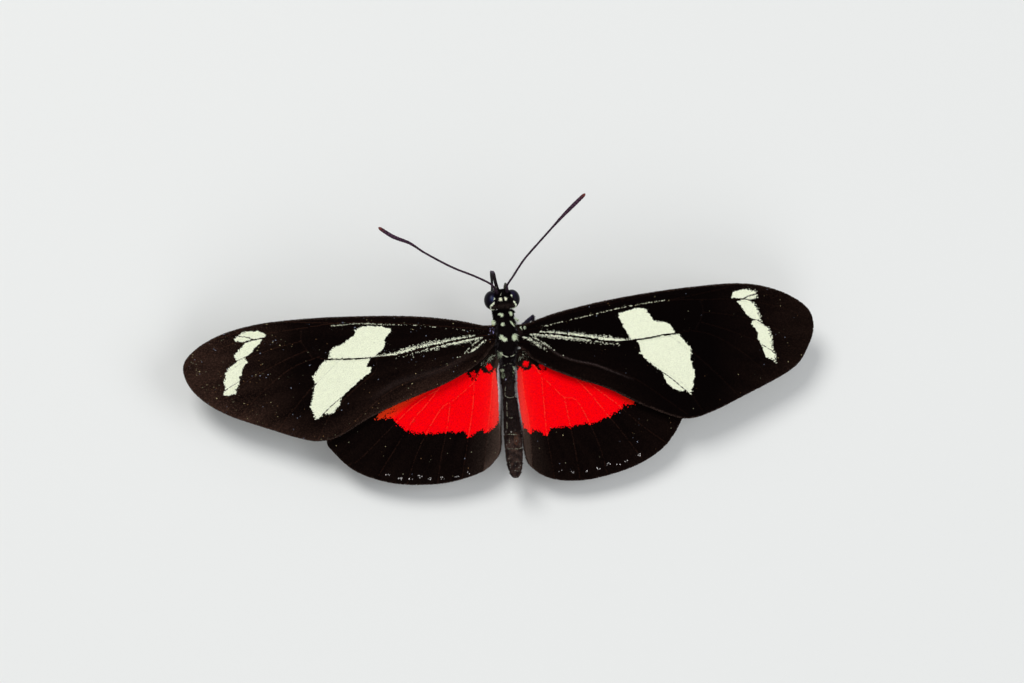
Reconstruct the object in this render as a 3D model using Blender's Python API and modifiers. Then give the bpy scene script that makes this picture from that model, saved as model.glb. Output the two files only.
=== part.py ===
"""A ricini longwing butterfly at life size, standing with its wings spread flat.

The insect is built in its own body frame, in millimetres: +X to its right, +Y along the
body to the head, +Z out of its back, with the origin in the middle of the thorax. The
body frame is then pitched head up and raised on the legs, and the legs are built upright
from the hips down to the floor.
"""
import math

import bmesh
import bpy
from mathutils import Matrix, Vector
from mathutils.geometry import delaunay_2d_cdt

OBJECT_NAME = "ricini_longwing"
MM = 0.001

# Stance
BODY_PITCH = math.radians(12.0)
BODY_HEIGHT = 7.0
GAP = 0.3

# Wings: thickness of membrane and veins, and the sheet that the spread wings lie in
MEMBRANE = 0.5
VEIN_THICKNESS = 0.8
VEIN_HALF_WIDTH = 0.3
WING_ROOT_X = 1.2
WING_REACH = 31.0
WING_DROOP = math.radians(5.5)
WING_ARCH = 0.9
WING_TRAIL = 0.005
WING_TRAIL_FROM = 1.0
FOREWING_HEIGHT = 0.75
WING_STEP = 1.15

# How far each wing is swung back about its root, moved forward and moved outward, as held
WING_HOLD = {
    "forewing_left": (math.radians(0.7), 0.24, 0.0),
    "forewing_right": (math.radians(-0.7), -0.24, 0.0),
    "hindwing_left": (math.radians(1.8), 0.4, 0.2),
    "hindwing_right": (math.radians(-1.8), -0.4, -0.2),
}

# Wing outlines, from the front of the root round the tip to the back of the root. Those of the
# two sides differ a little, as the wings of the photo do.
FOREWING_ROOT = [(4.7, -3.55), (3.3, -2.75), (2.3, -2.0), (1.5, -1.1), (0.4, -0.4)]
FOREWING_EDGES = {
    "left": [
        (0.4, 1.3), (2.2, 1.3), (5.0, 2.05), (9.0, 2.77), (14.0, 3.24), (20.0, 3.5),
        (25.5, 3.3), (29.5, 2.35), (32.2, 0.7), (32.85, -1.0), (31.8, -3.3), (29.0, -5.55),
        (24.0, -7.75), (21.3, -8.8), (19.6, -9.1), (17.7, -8.75), (14.6, -7.2), (11.4, -5.95),
        (7.2, -4.6),
    ],
    "right": [
        (0.4, 1.5), (2.2, 1.65), (5.0, 2.4), (9.0, 3.08), (14.0, 3.63), (20.0, 3.96),
        (25.5, 3.87), (29.5, 2.78), (32.3, 0.95), (33.0, -1.0), (32.3, -3.1), (30.2, -5.5),
        (24.2, -8.0), (21.4, -9.05), (19.2, -9.6), (17.2, -9.4), (13.4, -7.7), (10.0, -5.8),
        (6.8, -4.5),
    ],
}
HINDWING_FRONT = [(0.4, -0.9), (2.5, -0.7), (5.0, -1.1), (9.0, -2.4), (14.0, -4.6)]
HINDWING_EDGES = {
    "left": [
        (17.6, -6.9), (18.9, -8.8), (18.4, -10.1), (16.2, -12.4), (12.5, -14.0), (8.1, -14.55),
        (4.8, -14.2), (2.6, -13.4), (1.4, -11.8), (1.1, -9.0),
    ],
    "right": [
        (17.0, -6.9), (18.2, -8.8), (17.8, -10.2), (15.8, -12.5), (12.5, -14.1), (8.1, -14.9),
        (4.8, -14.7), (2.6, -13.8), (1.4, -12.2), (1.1, -9.0),
    ],
}
HINDWING_ROOT = [(0.9, -6.0), (0.8, -3.8), (0.4, -2.6)]

# Main veins, from the root or from a fork on an earlier vein out to the margin. The first vein
# of the real forewing runs so near its front margin that the two are one ridge here.
FOREWING_VEINS = [
    [(1.0, 0.45), (4.5, 1.2), (11.9, 2.0), (17.1, 2.55), (23.9, 2.35), (28.6, 1.35), (32.6, -0.4)],
    [(1.0, 0.2), (4.5, 0.2), (11.4, -1.05), (17.6, -0.75), (22.0, -1.4), (25.2, -3.6), (27.7, -6.4)],
    [(13.4, -1.05), (14.6, -3.2), (17.4, -6.0), (20.0, -9.0)],
    [(17.0, -0.75), (19.5, -2.9), (22.0, -5.4), (24.0, -7.8)],
    [(20.0, 2.5), (20.4, 1.2), (19.9, -0.9)],
    [(20.4, 1.2), (23.2, 0.8), (26.0, -0.1), (32.0, -3.0)],
    [(20.2, 0.2), (23.5, -0.9), (27.1, -2.8), (30.5, -4.8)],
    [(1.0, -0.2), (5.0, -1.75), (9.8, -3.7), (14.5, -6.4), (18.3, -9.1)],
]
HINDWING_VEINS = [
    [(1.0, -1.3), (5.0, -2.1), (10.0, -4.3), (18.6, -9.0)],
    [(1.0, -1.8), (3.3, -3.6), (5.7, -6.2), (6.2, -9.0), (6.8, -14.6)],
    [(5.7, -6.2), (7.3, -7.1), (8.9, -10.2), (10.6, -14.3)],
    [(3.6, -1.85), (7.4, -5.0), (10.1, -8.3), (13.9, -13.3)],
    [(7.4, -5.0), (11.1, -7.3), (17.3, -11.1)],
    [(1.3, -2.6), (3.2, -4.6), (4.0, -9.6), (4.8, -14.4)],
]

# A wing of each pair: its outlines left and right, its veins, its height at the root and the
# hinge it swings on
WING_OUTLINES = {
    "forewing": {word: edge + FOREWING_ROOT for word, edge in FOREWING_EDGES.items()},
    "hindwing": {word: HINDWING_FRONT + edge + HINDWING_ROOT for word, edge in HINDWING_EDGES.items()},
}
WING_PLANS = {
    "forewing": (WING_OUTLINES["forewing"], FOREWING_VEINS, FOREWING_HEIGHT, (1.2, 0.6)),
    "hindwing": (WING_OUTLINES["hindwing"], HINDWING_VEINS, FOREWING_HEIGHT - WING_STEP, (1.2, -2.0)),
}

# Spacing of a wing's mesh: along the margin and the veins, and of the points between them
OUTLINE_SPACING = 1.1
VEIN_SPACING = 1.5
MESH_SPACING = 1.9
MESH_CLEARANCE = 0.55 * MESH_SPACING
MESH_TOP = 5.0
MESH_EXTENT = 40.0
ROW_PITCH = math.sqrt(3.0) / 2.0
VEIN_END = 0.55
FORK_REACH = 0.5
SIDE_CLEARANCE = 0.45
SAME_PLACE = 0.02
ON_VEIN = 0.03

# Trunk sections: place along the body, half width, top and bottom
THORAX_SECTIONS = [
    (2.85, 0.55, 0.55, -0.55), (2.6, 0.9, 0.85, -0.85), (2.1, 1.08, 1.02, -1.1),
    (1.75, 1.12, 1.1, -1.25), (0.9, 1.25, 1.42, -1.5), (-0.2, 1.27, 1.48, -1.55),
    (-1.2, 1.12, 1.25, -1.45), (-1.9, 0.95, 0.98, -1.2), (-2.5, 0.7, 0.7, -0.85),
    (-2.75, 0.4, 0.4, -0.5),
]
THORAX_JOINTS = (2.1, -1.35)
ABDOMEN_SECTIONS = [
    (-1.6, 0.5, 0.5, -0.55), (-2.6, 0.86, 0.78, -0.86), (-3.7, 0.86, 0.84, -0.9),
    (-5.4, 0.72, 0.8, -0.84), (-7.6, 0.78, 0.82, -0.86), (-10.2, 0.9, 0.88, -0.92),
    (-11.9, 0.87, 0.84, -0.88), (-13.0, 0.76, 0.72, -0.76), (-13.8, 0.56, 0.52, -0.58),
    (-14.4, 0.22, 0.2, -0.26),
]
ABDOMEN_JOINTS = (-4.3, -6.0, -8.0, -9.7, -11.2, -12.6, -13.5)
JOINT_GROOVE = 0.08
JOINT_REACH = 0.28
TRUNK_SIDES = 18
SECTION_SPACING = 0.4
ROOM_END = 0.5

# Head: a squarish capsule, with the eyes as domes on its sides
HEAD_SECTIONS = [
    (4.9, 0.22, 0.16, -0.22), (4.82, 0.42, 0.42, -0.46), (4.65, 0.6, 0.68, -0.7),
    (4.4, 0.74, 0.9, -0.9), (4.0, 0.82, 1.05, -0.98), (3.6, 0.82, 1.02, -0.95),
    (3.3, 0.74, 0.86, -0.82), (3.1, 0.6, 0.68, -0.64), (2.98, 0.4, 0.45, -0.42),
]
HEAD_SIDES = 28
HEAD_ROUNDNESS = 0.75
EYE_CENTRE = (0.95, 3.95, 0.0)
EYE_RADII = (0.9, 0.98, 1.02)
EYE_SHIFT = -0.09
ANTENNA_RADIUS = 0.25
CLUB_RADIUS = 0.31
CLUB_LENGTH = 5.0
ANTENNA_END = 0.4
ANTENNA_PATHS = {
    "left": [(-0.42, 4.6, 0.75), (-1.3, 5.55, 1.2), (-2.9, 6.45, 1.6), (-5.4, 7.6, 2.1),
             (-8.0, 9.15, 2.5), (-9.55, 10.25, 2.75), (-11.2, 11.0, 3.0), (-12.7, 12.05, 3.2)],
    "right": [(0.42, 4.6, 0.75), (0.45, 5.5, 1.15), (0.95, 6.25, 1.8), (2.3, 8.15, 2.9),
              (4.65, 10.55, 4.0), (6.2, 12.1, 4.7), (8.3, 14.0, 5.7)],
}
PALP_PATHS = {
    "left": [(-0.55, 4.4, -0.6), (-0.61, 4.85, -0.55), (-0.61, 5.15, -0.35), (-0.57, 5.35, -0.1)],
    "right": [(0.5, 4.4, -0.6), (0.45, 4.95, -0.5), (0.4, 5.35, -0.2), (0.39, 5.7, 0.08)],
}
PALP_RADII = (0.27, 0.27, 0.25, 0.13)
PROBOSCIS_PATH = [
    (0.0, 4.3, -1.0), (-0.24, 5.0, -1.25), (-0.44, 5.9, -1.18), (-0.56, 6.65, -1.15),
    (-0.62, 6.9, -1.75), (-0.52, 6.55, -2.7), (-0.28, 5.95, -4.1), (-0.06, 5.4, -5.5),
    (0.08, 5.0, -6.7), (0.15, 4.8, -7.4),
]
PROBOSCIS_RADIUS = 0.25

# Legs: the hip in the body frame, then knee, ankle and toe in the frame that it stands in
FORE_LEG_PATH = [(0.45, 1.9, -1.0), (0.62, 2.55, -1.55), (0.68, 3.3, -1.85), (0.62, 2.6, -2.2),
                 (0.55, 1.9, -2.3)]
FORE_LEG_RADII = (0.3, 0.28, 0.25, 0.25, 0.2)
LEG_PLACES = {
    "leg_mid_left": ((-0.45, -0.1, -1.3), (-3.3, 1.3, 5.9), (-4.5, 1.2, 0.75), (-6.4, 3.3)),
    "leg_mid_right": ((0.45, -0.1, -1.3), (3.2, 2.2, 6.5), (4.6, 1.5, 0.75), (6.5, 3.4)),
    "leg_hind_left": ((-0.45, -1.5, -1.1), (-3.2, -3.1, 4.6), (-4.5, -6.6, 0.75), (-5.5, -9.4)),
    "leg_hind_right": ((0.45, -1.5, -1.1), (3.2, -3.1, 4.6), (4.6, -6.8, 0.75), (5.7, -9.5)),
}
COXA_RADIUS = 0.36
FEMUR_RADIUS = 0.32
KNEE_RADIUS = 0.29
TIBIA_RADIUS = 0.26
TARSUS_RADIUS = 0.25
TOE_RADIUS = 0.22
TARSUS_AXIS_HEIGHT = 0.16
FEMUR_ARCH = 0.15
KNEE_ARCH = 0.08

# Spacing of the points along the tubes
LEG_SPACING = 0.8
FORE_LEG_SPACING = 0.4
ANTENNA_SPACING = 1.1
PALP_SPACING = 0.35
PROBOSCIS_SPACING = 0.5

SOFT_GLOSS = 0.6
WING_GLOSS = 0.75
EYE_GLOSS = 0.15
SHARP_ANGLE = math.radians(50.0)
COLOURS = {
    "wing": (0.012, 0.008, 0.008),
    "body": (0.014, 0.011, 0.012),
    "eye": (0.006, 0.007, 0.012),
    "feeler": (0.035, 0.02, 0.028),
    "leg": (0.02, 0.014, 0.014),
}


def clear_scene():
    for thing in list(bpy.data.objects):
        bpy.data.objects.remove(thing, do_unlink=True)


def make_collection(name):
    group = bpy.data.collections.new(name)
    bpy.context.scene.collection.children.link(group)
    return group


def make_material(name, colour, roughness):
    material = bpy.data.materials.new(name)
    material.use_nodes = True
    shader = material.node_tree.nodes["Principled BSDF"]
    shader.inputs["Base Color"].default_value = (*colour, 1.0)
    shader.inputs["Roughness"].default_value = roughness
    shader.inputs["Metallic"].default_value = 0.0
    material.diffuse_color = (*colour, 1.0)
    return material


def add_part(mesh, group, parent, finish, roughness=SOFT_GLOSS):
    """Links a part named for its mesh, on its own material, under the empty that carries it."""
    thing = bpy.data.objects.new(mesh.name, mesh)
    group.objects.link(thing)
    thing.parent = parent
    mesh.materials.append(make_material(mesh.name, COLOURS[finish], roughness))
    mesh.shade_smooth()
    mesh.set_sharp_from_angle(angle=SHARP_ANGLE)
    return thing


def add_cutter(mesh, group, parent):
    thing = bpy.data.objects.new(mesh.name, mesh)
    group.objects.link(thing)
    thing.parent = parent
    thing.hide_render = True
    thing.display_type = "WIRE"
    return thing


def cut(thing, *cutters):
    for cutter in cutters:
        boolean = thing.modifiers.new("cut by " + cutter.name, "BOOLEAN")
        boolean.operation = "DIFFERENCE"
        boolean.solver = "EXACT"
        boolean.object = cutter


def finish_mesh(bm, name):
    mesh = bpy.data.meshes.new(name)
    bm.to_mesh(mesh)
    bm.free()
    return mesh


def smooth_path(points, spacing):
    """Points of a Catmull-Rom curve through the given ones, about one each spacing."""
    knots = [Vector(p) for p in points]
    path = []
    for i in range(len(knots) - 1):
        p1 = knots[i]
        p2 = knots[i + 1]
        p0 = knots[i - 1] if i > 0 else p1 * 2 - p2
        p3 = knots[i + 2] if i + 2 < len(knots) else p2 * 2 - p1
        steps = max(1, round((p2 - p1).length / spacing))
        for k in range(steps):
            t = k / steps
            start = p1 * 2 + (p2 - p0) * t
            bend = (p0 * 2 - p1 * 5 + p2 * 4 - p3) * t * t
            turn = (p1 * 3 - p0 - p2 * 3 + p3) * t * t * t
            path.append((start + bend + turn) * 0.5)
    path.append(knots[-1])
    return path


def mirrored(points, side):
    return [(side * x, y, z) for x, y, z in points]


def section_at(sections, y):
    """Half width, top and bottom of a trunk at one place, blended between its sections."""
    for (y1, *one), (y2, *two) in zip(sections, sections[1:]):
        if y2 <= y <= y1:
            t = (y1 - y) / (y1 - y2)
            return [a + (b - a) * t for a, b in zip(one, two)]
    return list(sections[0][1:]) if y > sections[0][0] else list(sections[-1][1:])


def bowed(value, roundness):
    """A sine or cosine pushed outward, which makes a ring squarer as roundness falls below 1."""
    return math.copysign(abs(value) ** roundness, value)


def loft(rings, name, sides=TRUNK_SIDES, roundness=1.0):
    """A closed skin over egg-shaped rings, each a place, half width, top and bottom."""
    bm = bmesh.new()
    loops = []
    for y, half, top, bottom in rings:
        loop = []
        for k in range(sides):
            turn = 2 * math.pi * k / sides
            height = top if math.sin(turn) > 0 else -bottom
            across = half * bowed(math.cos(turn), roundness)
            place = (across, y, height * bowed(math.sin(turn), roundness))
            loop.append(bm.verts.new(Vector(place) * MM))
        loops.append(loop)
    for one, two in zip(loops, loops[1:]):
        for k in range(sides):
            n = (k + 1) % sides
            bm.faces.new((one[k], two[k], two[n], one[n]))
    bm.faces.new(loops[0])
    bm.faces.new(list(reversed(loops[-1])))
    bmesh.ops.recalc_face_normals(bm, faces=bm.faces)
    return finish_mesh(bm, name)


def trunk_mesh(name, sections, joints):
    """A part of the trunk, with a shallow groove round it at each joint."""
    places = [s[0] for s in sections]
    for joint in joints:
        places += [joint + JOINT_REACH, joint, joint - JOINT_REACH]
    smooth = smooth_path(sections, SECTION_SPACING)
    rings = []
    for y in sorted({round(p, 3) for p in places}, reverse=True):
        half, top, bottom = section_at(smooth, y)
        dip = JOINT_GROOVE if y in joints else 0.0
        rings.append((y, half - dip, top - dip, bottom + dip))
    return loft(rings, name)


def room_mesh(name, sections, sides=TRUNK_SIDES, roundness=1.0):
    """The room that a part of the body needs: its plain form, a gap larger all round."""
    rings = [(y, half + GAP, top + GAP, bottom - GAP) for y, half, top, bottom in sections]
    front = (rings[0][0] + GAP, *(size * ROOM_END for size in rings[0][1:]))
    back = (rings[-1][0] - GAP, *(size * ROOM_END for size in rings[-1][1:]))
    return loft([front, *rings, back], name, sides, roundness)


def ellipsoid_mesh(name, centre, radii):
    bm = bmesh.new()
    bmesh.ops.create_uvsphere(bm, u_segments=24, v_segments=14, radius=1.0)
    bmesh.ops.scale(bm, vec=Vector(radii) * MM, verts=bm.verts)
    bmesh.ops.translate(bm, vec=Vector(centre) * MM, verts=bm.verts)
    return finish_mesh(bm, name)


def tube_mesh(name, path, radii, floor=None):
    """A tapering tube on a poly curve with filled caps, welded shut and cut flat below."""
    curve = bpy.data.curves.new(name, "CURVE")
    curve.dimensions = "3D"
    curve.bevel_depth = MM
    curve.bevel_resolution = 2
    curve.use_fill_caps = True
    spline = curve.splines.new("POLY")
    spline.points.add(len(path) - 1)
    for point, place, radius in zip(spline.points, path, radii):
        point.co = (*(Vector(place) * MM), 1.0)
        point.radius = radius
    carrier = bpy.data.objects.new(name + " curve", curve)
    bpy.context.scene.collection.objects.link(carrier)
    bpy.context.view_layer.update()
    graph = bpy.context.evaluated_depsgraph_get()
    swept = bpy.data.meshes.new_from_object(carrier.evaluated_get(graph))
    bpy.data.objects.remove(carrier, do_unlink=True)
    bm = bmesh.new()
    bm.from_mesh(swept)
    bpy.data.meshes.remove(swept)
    bmesh.ops.remove_doubles(bm, verts=bm.verts, dist=0.001 * MM)
    if floor is not None:
        geometry = bm.verts[:] + bm.edges[:] + bm.faces[:]
        bmesh.ops.bisect_plane(bm, geom=geometry, plane_co=(0, 0, floor * MM), plane_no=(0, 0, 1),
                               clear_inner=True)
        bmesh.ops.holes_fill(bm, edges=[e for e in bm.edges if e.is_boundary])
    bmesh.ops.recalc_face_normals(bm, faces=bm.faces)
    return finish_mesh(bm, name)


def path_lengths(path):
    lengths = [0.0]
    for one, two in zip(path, path[1:]):
        lengths.append(lengths[-1] + (two - one).length)
    return lengths


def along(path, knots, values):
    """Values at each point of a path, blended by length between the knots' own values."""
    lengths = path_lengths(path)
    marks = []
    for knot in knots:
        nearest = min(range(len(path)), key=lambda i: (path[i] - Vector(knot)).length)
        marks.append(lengths[nearest])
    out = []
    for length in lengths:
        value = values[-1]
        for k in range(len(marks) - 1):
            if marks[k] <= length <= marks[k + 1] and marks[k + 1] > marks[k]:
                t = (length - marks[k]) / (marks[k + 1] - marks[k])
                value = values[k] + (values[k + 1] - values[k]) * t
                break
        out.append(value)
    return out


def sheet_height(x, y):
    """Height of the spread wings' sheet: it arches outward and falls to the rear."""
    reach = abs(x) - WING_ROOT_X
    share = reach / WING_REACH
    trail = max(0.0, WING_TRAIL_FROM - y)
    rise = 4.0 * WING_ARCH * share * (1.0 - share)
    return rise - math.tan(WING_DROOP) * reach - WING_TRAIL * trail * trail


def nearest_on(point, path):
    """The place on a path that is nearest to a point."""
    best = path[0]
    for one, two in zip(path, path[1:]):
        run = two - one
        t = max(0.0, min(1.0, (point - one).dot(run) / run.length_squared))
        place = one + run * t
        if (place - point).length < (best - point).length:
            best = place
    return best


def distance_to(point, path):
    return (nearest_on(point, path) - point).length


def inside(point, outline):
    within = False
    for one, two in zip(outline, outline[1:] + outline[:1]):
        if (one.y > point.y) != (two.y > point.y):
            if point.x < one.x + (point.y - one.y) * (two.x - one.x) / (two.y - one.y):
                within = not within
    return within


def vein_lines(vein_points, outline):
    """The veins' centre lines, each joined to the vein it forks from and clear of the margin."""
    rim = outline + outline[:1]
    veins = []
    for points in vein_points:
        path = smooth_path(points, VEIN_SPACING)
        path = [p for p in path if inside(p, outline) and distance_to(p, rim) > VEIN_END]
        for parent in veins:
            for end in (0, -1):
                if distance_to(path[end], parent) < FORK_REACH:
                    path[end] = nearest_on(path[end], parent)
        veins.append(path)
    return veins


def side_lines(vein, others):
    """The two lines beside a vein, in runs that stop where they come near another vein."""
    runs = []
    for side in (-1, 1):
        run = []
        for i, point in enumerate(vein):
            heading = (vein[min(i + 1, len(vein) - 1)] - vein[max(i - 1, 0)]).normalized()
            place = point + Vector((-heading.y, heading.x)) * (side * VEIN_HALF_WIDTH)
            if all(distance_to(place, other) > SIDE_CLEARANCE for other in others):
                run.append(place)
                continue
            runs.append(run)
            run = []
        runs.append(run)
    return [run for run in runs if run]


def open_points(outline, veins):
    """Points in staggered rows over the membrane, clear of the margin and of the veins."""
    rim = outline + outline[:1]
    rows = math.ceil(MESH_EXTENT / MESH_SPACING)
    spots = []
    for row in range(rows):
        for column in range(rows):
            x = (column + 0.5 * (row % 2)) * MESH_SPACING
            spot = Vector((x, MESH_TOP - row * MESH_SPACING * ROW_PITCH))
            if inside(spot, outline) and distance_to(spot, rim) > MESH_CLEARANCE:
                if min(distance_to(spot, vein) for vein in veins) > MESH_CLEARANCE:
                    spots.append(spot)
    return spots


def wing_sheet(name, side, plan):
    """The wing's middle sheet, with veins as lines of its mesh, and how thick each point is."""
    outlines, vein_points, height, hinge = plan
    outline = smooth_path(outlines["right" if side > 0 else "left"], OUTLINE_SPACING)
    veins = vein_lines(vein_points, outline)
    points = outline + open_points(outline, veins)
    edges = []
    for vein in veins:
        others = [other for other in veins if other is not vein]
        for line in (vein, *side_lines(vein, others)):
            start = len(points)
            points = points + line
            edges += [(start + i, start + i + 1) for i in range(len(line) - 1)]
    loop = list(reversed(range(len(outline))))
    verts, _, faces, *_ = delaunay_2d_cdt(points, edges, [loop], 1, SAME_PLACE)

    swing, forward, outward = WING_HOLD[name]
    turn = Matrix.Rotation(-swing, 2)
    pivot = Vector(hinge)
    ridges = veins + [[p for p in outline if p.y > 0.0]]
    bm = bmesh.new()
    made = []
    weights = []
    for vert in verts:
        held = turn @ (vert - pivot) + pivot + Vector((outward, forward))
        z = height + sheet_height(held.x, held.y)
        made.append(bm.verts.new(Vector((side * held.x, held.y, z)) * MM))
        on_ridge = any(ridge and distance_to(vert, ridge) < ON_VEIN for ridge in ridges)
        weights.append(1.0 if on_ridge else 0.0)
    for face in faces:
        corners = [made[i] for i in face]
        bm.faces.new(corners if side > 0 else list(reversed(corners)))
    return finish_mesh(bm, name), weights


def add_wing(name, side, plan, group, parent):
    mesh, weights = wing_sheet(name, side, plan)
    wing = add_part(mesh, group, parent, "wing", WING_GLOSS)
    ridge = wing.vertex_groups.new(name="veins")
    for index, weight in enumerate(weights):
        ridge.add([index], weight, "REPLACE")
    solid = wing.modifiers.new("thickness", "SOLIDIFY")
    solid.thickness = VEIN_THICKNESS * MM
    solid.offset = 0.0
    solid.vertex_group = "veins"
    solid.thickness_vertex_group = MEMBRANE / VEIN_THICKNESS
    return wing


def to_stance(place):
    """A point of the body frame as it stands, still in millimetres."""
    turned = Matrix.Rotation(BODY_PITCH, 3, "X") @ Vector(place)
    return turned + Vector((0.0, 0.0, BODY_HEIGHT))


def add_leg(name, group, parent):
    """Hip to toe in one tube: thick thigh, slim shin and a foot cut flat on the floor."""
    hip, knee, ankle, toe = LEG_PLACES[name]
    hip = to_stance(hip)
    knee = Vector(knee)
    ankle = Vector(ankle)
    tip = Vector((*toe, TARSUS_AXIS_HEIGHT))
    heel = ankle.lerp(tip, 0.25)
    heel.z = TARSUS_AXIS_HEIGHT
    thigh = hip.lerp(knee, 0.5) + Vector((0.0, 0.0, FEMUR_ARCH))
    near_knee = hip.lerp(knee, 0.9) + Vector((0.0, 0.0, KNEE_ARCH))
    knots = [hip, thigh, near_knee, knee, knee.lerp(ankle, 0.08), knee.lerp(ankle, 0.5), ankle, heel, tip]
    radii = [COXA_RADIUS, FEMUR_RADIUS, KNEE_RADIUS, KNEE_RADIUS, TIBIA_RADIUS, TIBIA_RADIUS,
             TIBIA_RADIUS, TARSUS_RADIUS, TOE_RADIUS]
    path = smooth_path(knots, LEG_SPACING)
    mesh = tube_mesh(name, path, along(path, knots, radii), floor=0.0)
    return add_part(mesh, group, parent, "leg")


def add_tapered(name, knots, radii, spacing, finish, group, parent):
    """A tube through a few knots, each with its own radius."""
    path = smooth_path(knots, spacing)
    mesh = tube_mesh(name, path, along(path, knots, radii))
    return add_part(mesh, group, parent, finish)


def add_antenna(word, group, parent):
    """A slender feeler whose last stretch swells into a club."""
    path = smooth_path(ANTENNA_PATHS[word], ANTENNA_SPACING)
    lengths = path_lengths(path)
    radii = []
    for length in lengths:
        to_tip = lengths[-1] - length
        into_club = min(1.0, max(0.0, 1.0 - to_tip / CLUB_LENGTH))
        swell = math.sin(math.pi * into_club ** 0.8)
        radius = ANTENNA_RADIUS + (CLUB_RADIUS - ANTENNA_RADIUS) * swell
        radii.append(radius if to_tip > ANTENNA_END else radius * 0.6)
    return add_part(tube_mesh("antenna_" + word, path, radii), group, parent, "feeler")


def centre_on_floor(group, root):
    """Moves everything so that its box stands centred on the origin."""
    bpy.context.view_layer.update()
    graph = bpy.context.evaluated_depsgraph_get()
    corners = []
    for thing in group.objects:
        solid = thing.evaluated_get(graph)
        mesh = solid.to_mesh()
        corners += [solid.matrix_world @ v.co for v in mesh.vertices]
        solid.to_mesh_clear()
    low = [min(c[i] for c in corners) for i in range(3)]
    high = [max(c[i] for c in corners) for i in range(3)]
    root.location = (-(low[0] + high[0]) / 2, -(low[1] + high[1]) / 2, -low[2])
    bpy.context.view_layer.update()


def build():
    clear_scene()
    parts = make_collection(OBJECT_NAME)
    cutters = make_collection("cutters")
    stance = bpy.data.objects.new("stance", None)
    body = bpy.data.objects.new("body frame", None)
    for empty in (stance, body):
        cutters.objects.link(empty)
    body.parent = stance
    body.location = (0.0, 0.0, BODY_HEIGHT * MM)
    body.rotation_euler = (BODY_PITCH, 0.0, 0.0)

    thorax_room = add_cutter(room_mesh("thorax room", THORAX_SECTIONS), cutters, body)
    abdomen_room = add_cutter(room_mesh("abdomen room", ABDOMEN_SECTIONS), cutters, body)
    head_space = room_mesh("head room", HEAD_SECTIONS, HEAD_SIDES, HEAD_ROUNDNESS)
    head_room = add_cutter(head_space, cutters, body)

    thorax = add_part(trunk_mesh("thorax", THORAX_SECTIONS, THORAX_JOINTS), parts, body, "body")
    cut(thorax, head_room)
    abdomen = add_part(trunk_mesh("abdomen", ABDOMEN_SECTIONS, ABDOMEN_JOINTS), parts, body, "body")
    cut(abdomen, thorax_room)
    add_part(loft(HEAD_SECTIONS, "head", HEAD_SIDES, HEAD_ROUNDNESS), parts, body, "body")
    tongue = add_tapered("proboscis", PROBOSCIS_PATH, [PROBOSCIS_RADIUS] * len(PROBOSCIS_PATH),
                         PROBOSCIS_SPACING, "feeler", parts, body)
    cut(tongue, head_room)

    for side, word in ((-1, "left"), (1, "right")):
        across, ahead, above = mirrored([EYE_CENTRE], side)[0]
        centre = (across + EYE_SHIFT, ahead, above)
        eye = add_part(ellipsoid_mesh("eye_" + word, centre, EYE_RADII), parts, body, "eye", EYE_GLOSS)
        cut(eye, head_room, thorax_room)
        palp = add_tapered("palp_" + word, PALP_PATHS[word], PALP_RADII, PALP_SPACING, "body", parts, body)
        cut(palp, head_room)
        cut(add_antenna(word, parts, body), head_room)
        fore_leg = add_tapered("leg_fore_" + word, mirrored(FORE_LEG_PATH, side), FORE_LEG_RADII,
                               FORE_LEG_SPACING, "leg", parts, body)
        cut(fore_leg, thorax_room)
        for pair, plan in WING_PLANS.items():
            wing = add_wing(pair + "_" + word, side, plan, parts, body)
            cut(wing, thorax_room, abdomen_room)
        for pair in ("mid", "hind"):
            cut(add_leg("leg_%s_%s" % (pair, word), parts, stance), thorax_room)
    centre_on_floor(parts, stance)


build()
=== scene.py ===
"""The looks of the ricini longwing butterfly: scaled wings, furry body, feelers and legs.

Shapes are worked out in the insect's own body frame, in millimetres: +X to its right, +Y
to the head, +Z out of its back, with the origin in the middle of the thorax. A wing's
markings are given on the plan of the wing, x outward from the body and y forward, before
the wing is swung and moved as it is held.
"""

import math

import bpy
import numpy as np
from mathutils import Matrix, Vector
from mathutils.geometry import delaunay_2d_cdt


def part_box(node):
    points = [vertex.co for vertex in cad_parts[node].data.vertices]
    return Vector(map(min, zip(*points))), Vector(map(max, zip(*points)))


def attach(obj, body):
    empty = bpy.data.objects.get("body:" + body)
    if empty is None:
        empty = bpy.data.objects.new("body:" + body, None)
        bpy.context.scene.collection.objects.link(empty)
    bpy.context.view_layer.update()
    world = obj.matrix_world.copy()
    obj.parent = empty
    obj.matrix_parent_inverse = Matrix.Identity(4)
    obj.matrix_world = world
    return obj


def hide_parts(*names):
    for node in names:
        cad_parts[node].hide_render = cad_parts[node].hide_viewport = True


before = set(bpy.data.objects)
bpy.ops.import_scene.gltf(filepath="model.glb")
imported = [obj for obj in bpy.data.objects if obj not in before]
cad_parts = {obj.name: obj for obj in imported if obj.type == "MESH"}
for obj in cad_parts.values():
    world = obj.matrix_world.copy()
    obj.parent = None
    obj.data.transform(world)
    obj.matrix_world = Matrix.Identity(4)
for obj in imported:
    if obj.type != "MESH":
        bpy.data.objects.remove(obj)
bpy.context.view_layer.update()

MM = 0.001
BODY_PITCH = math.radians(12.0)
# How high the middle of the thorax is, and how far behind it the tail ends
BODY_HEIGHT = 7.0
TAIL_REACH = 14.126


def body_origin():
    """Where the middle of the thorax is: the tail's tip lies a known way behind it."""
    low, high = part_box("abdomen")
    return np.array([(low.x + high.x) / 2, low.y + TAIL_REACH * MM, BODY_HEIGHT * MM])


ORIGIN = body_origin()
GROUND = np.array([ORIGIN[0], ORIGIN[1], 0.0])
SIDES = {"left": -1.0, "right": 1.0}


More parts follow.
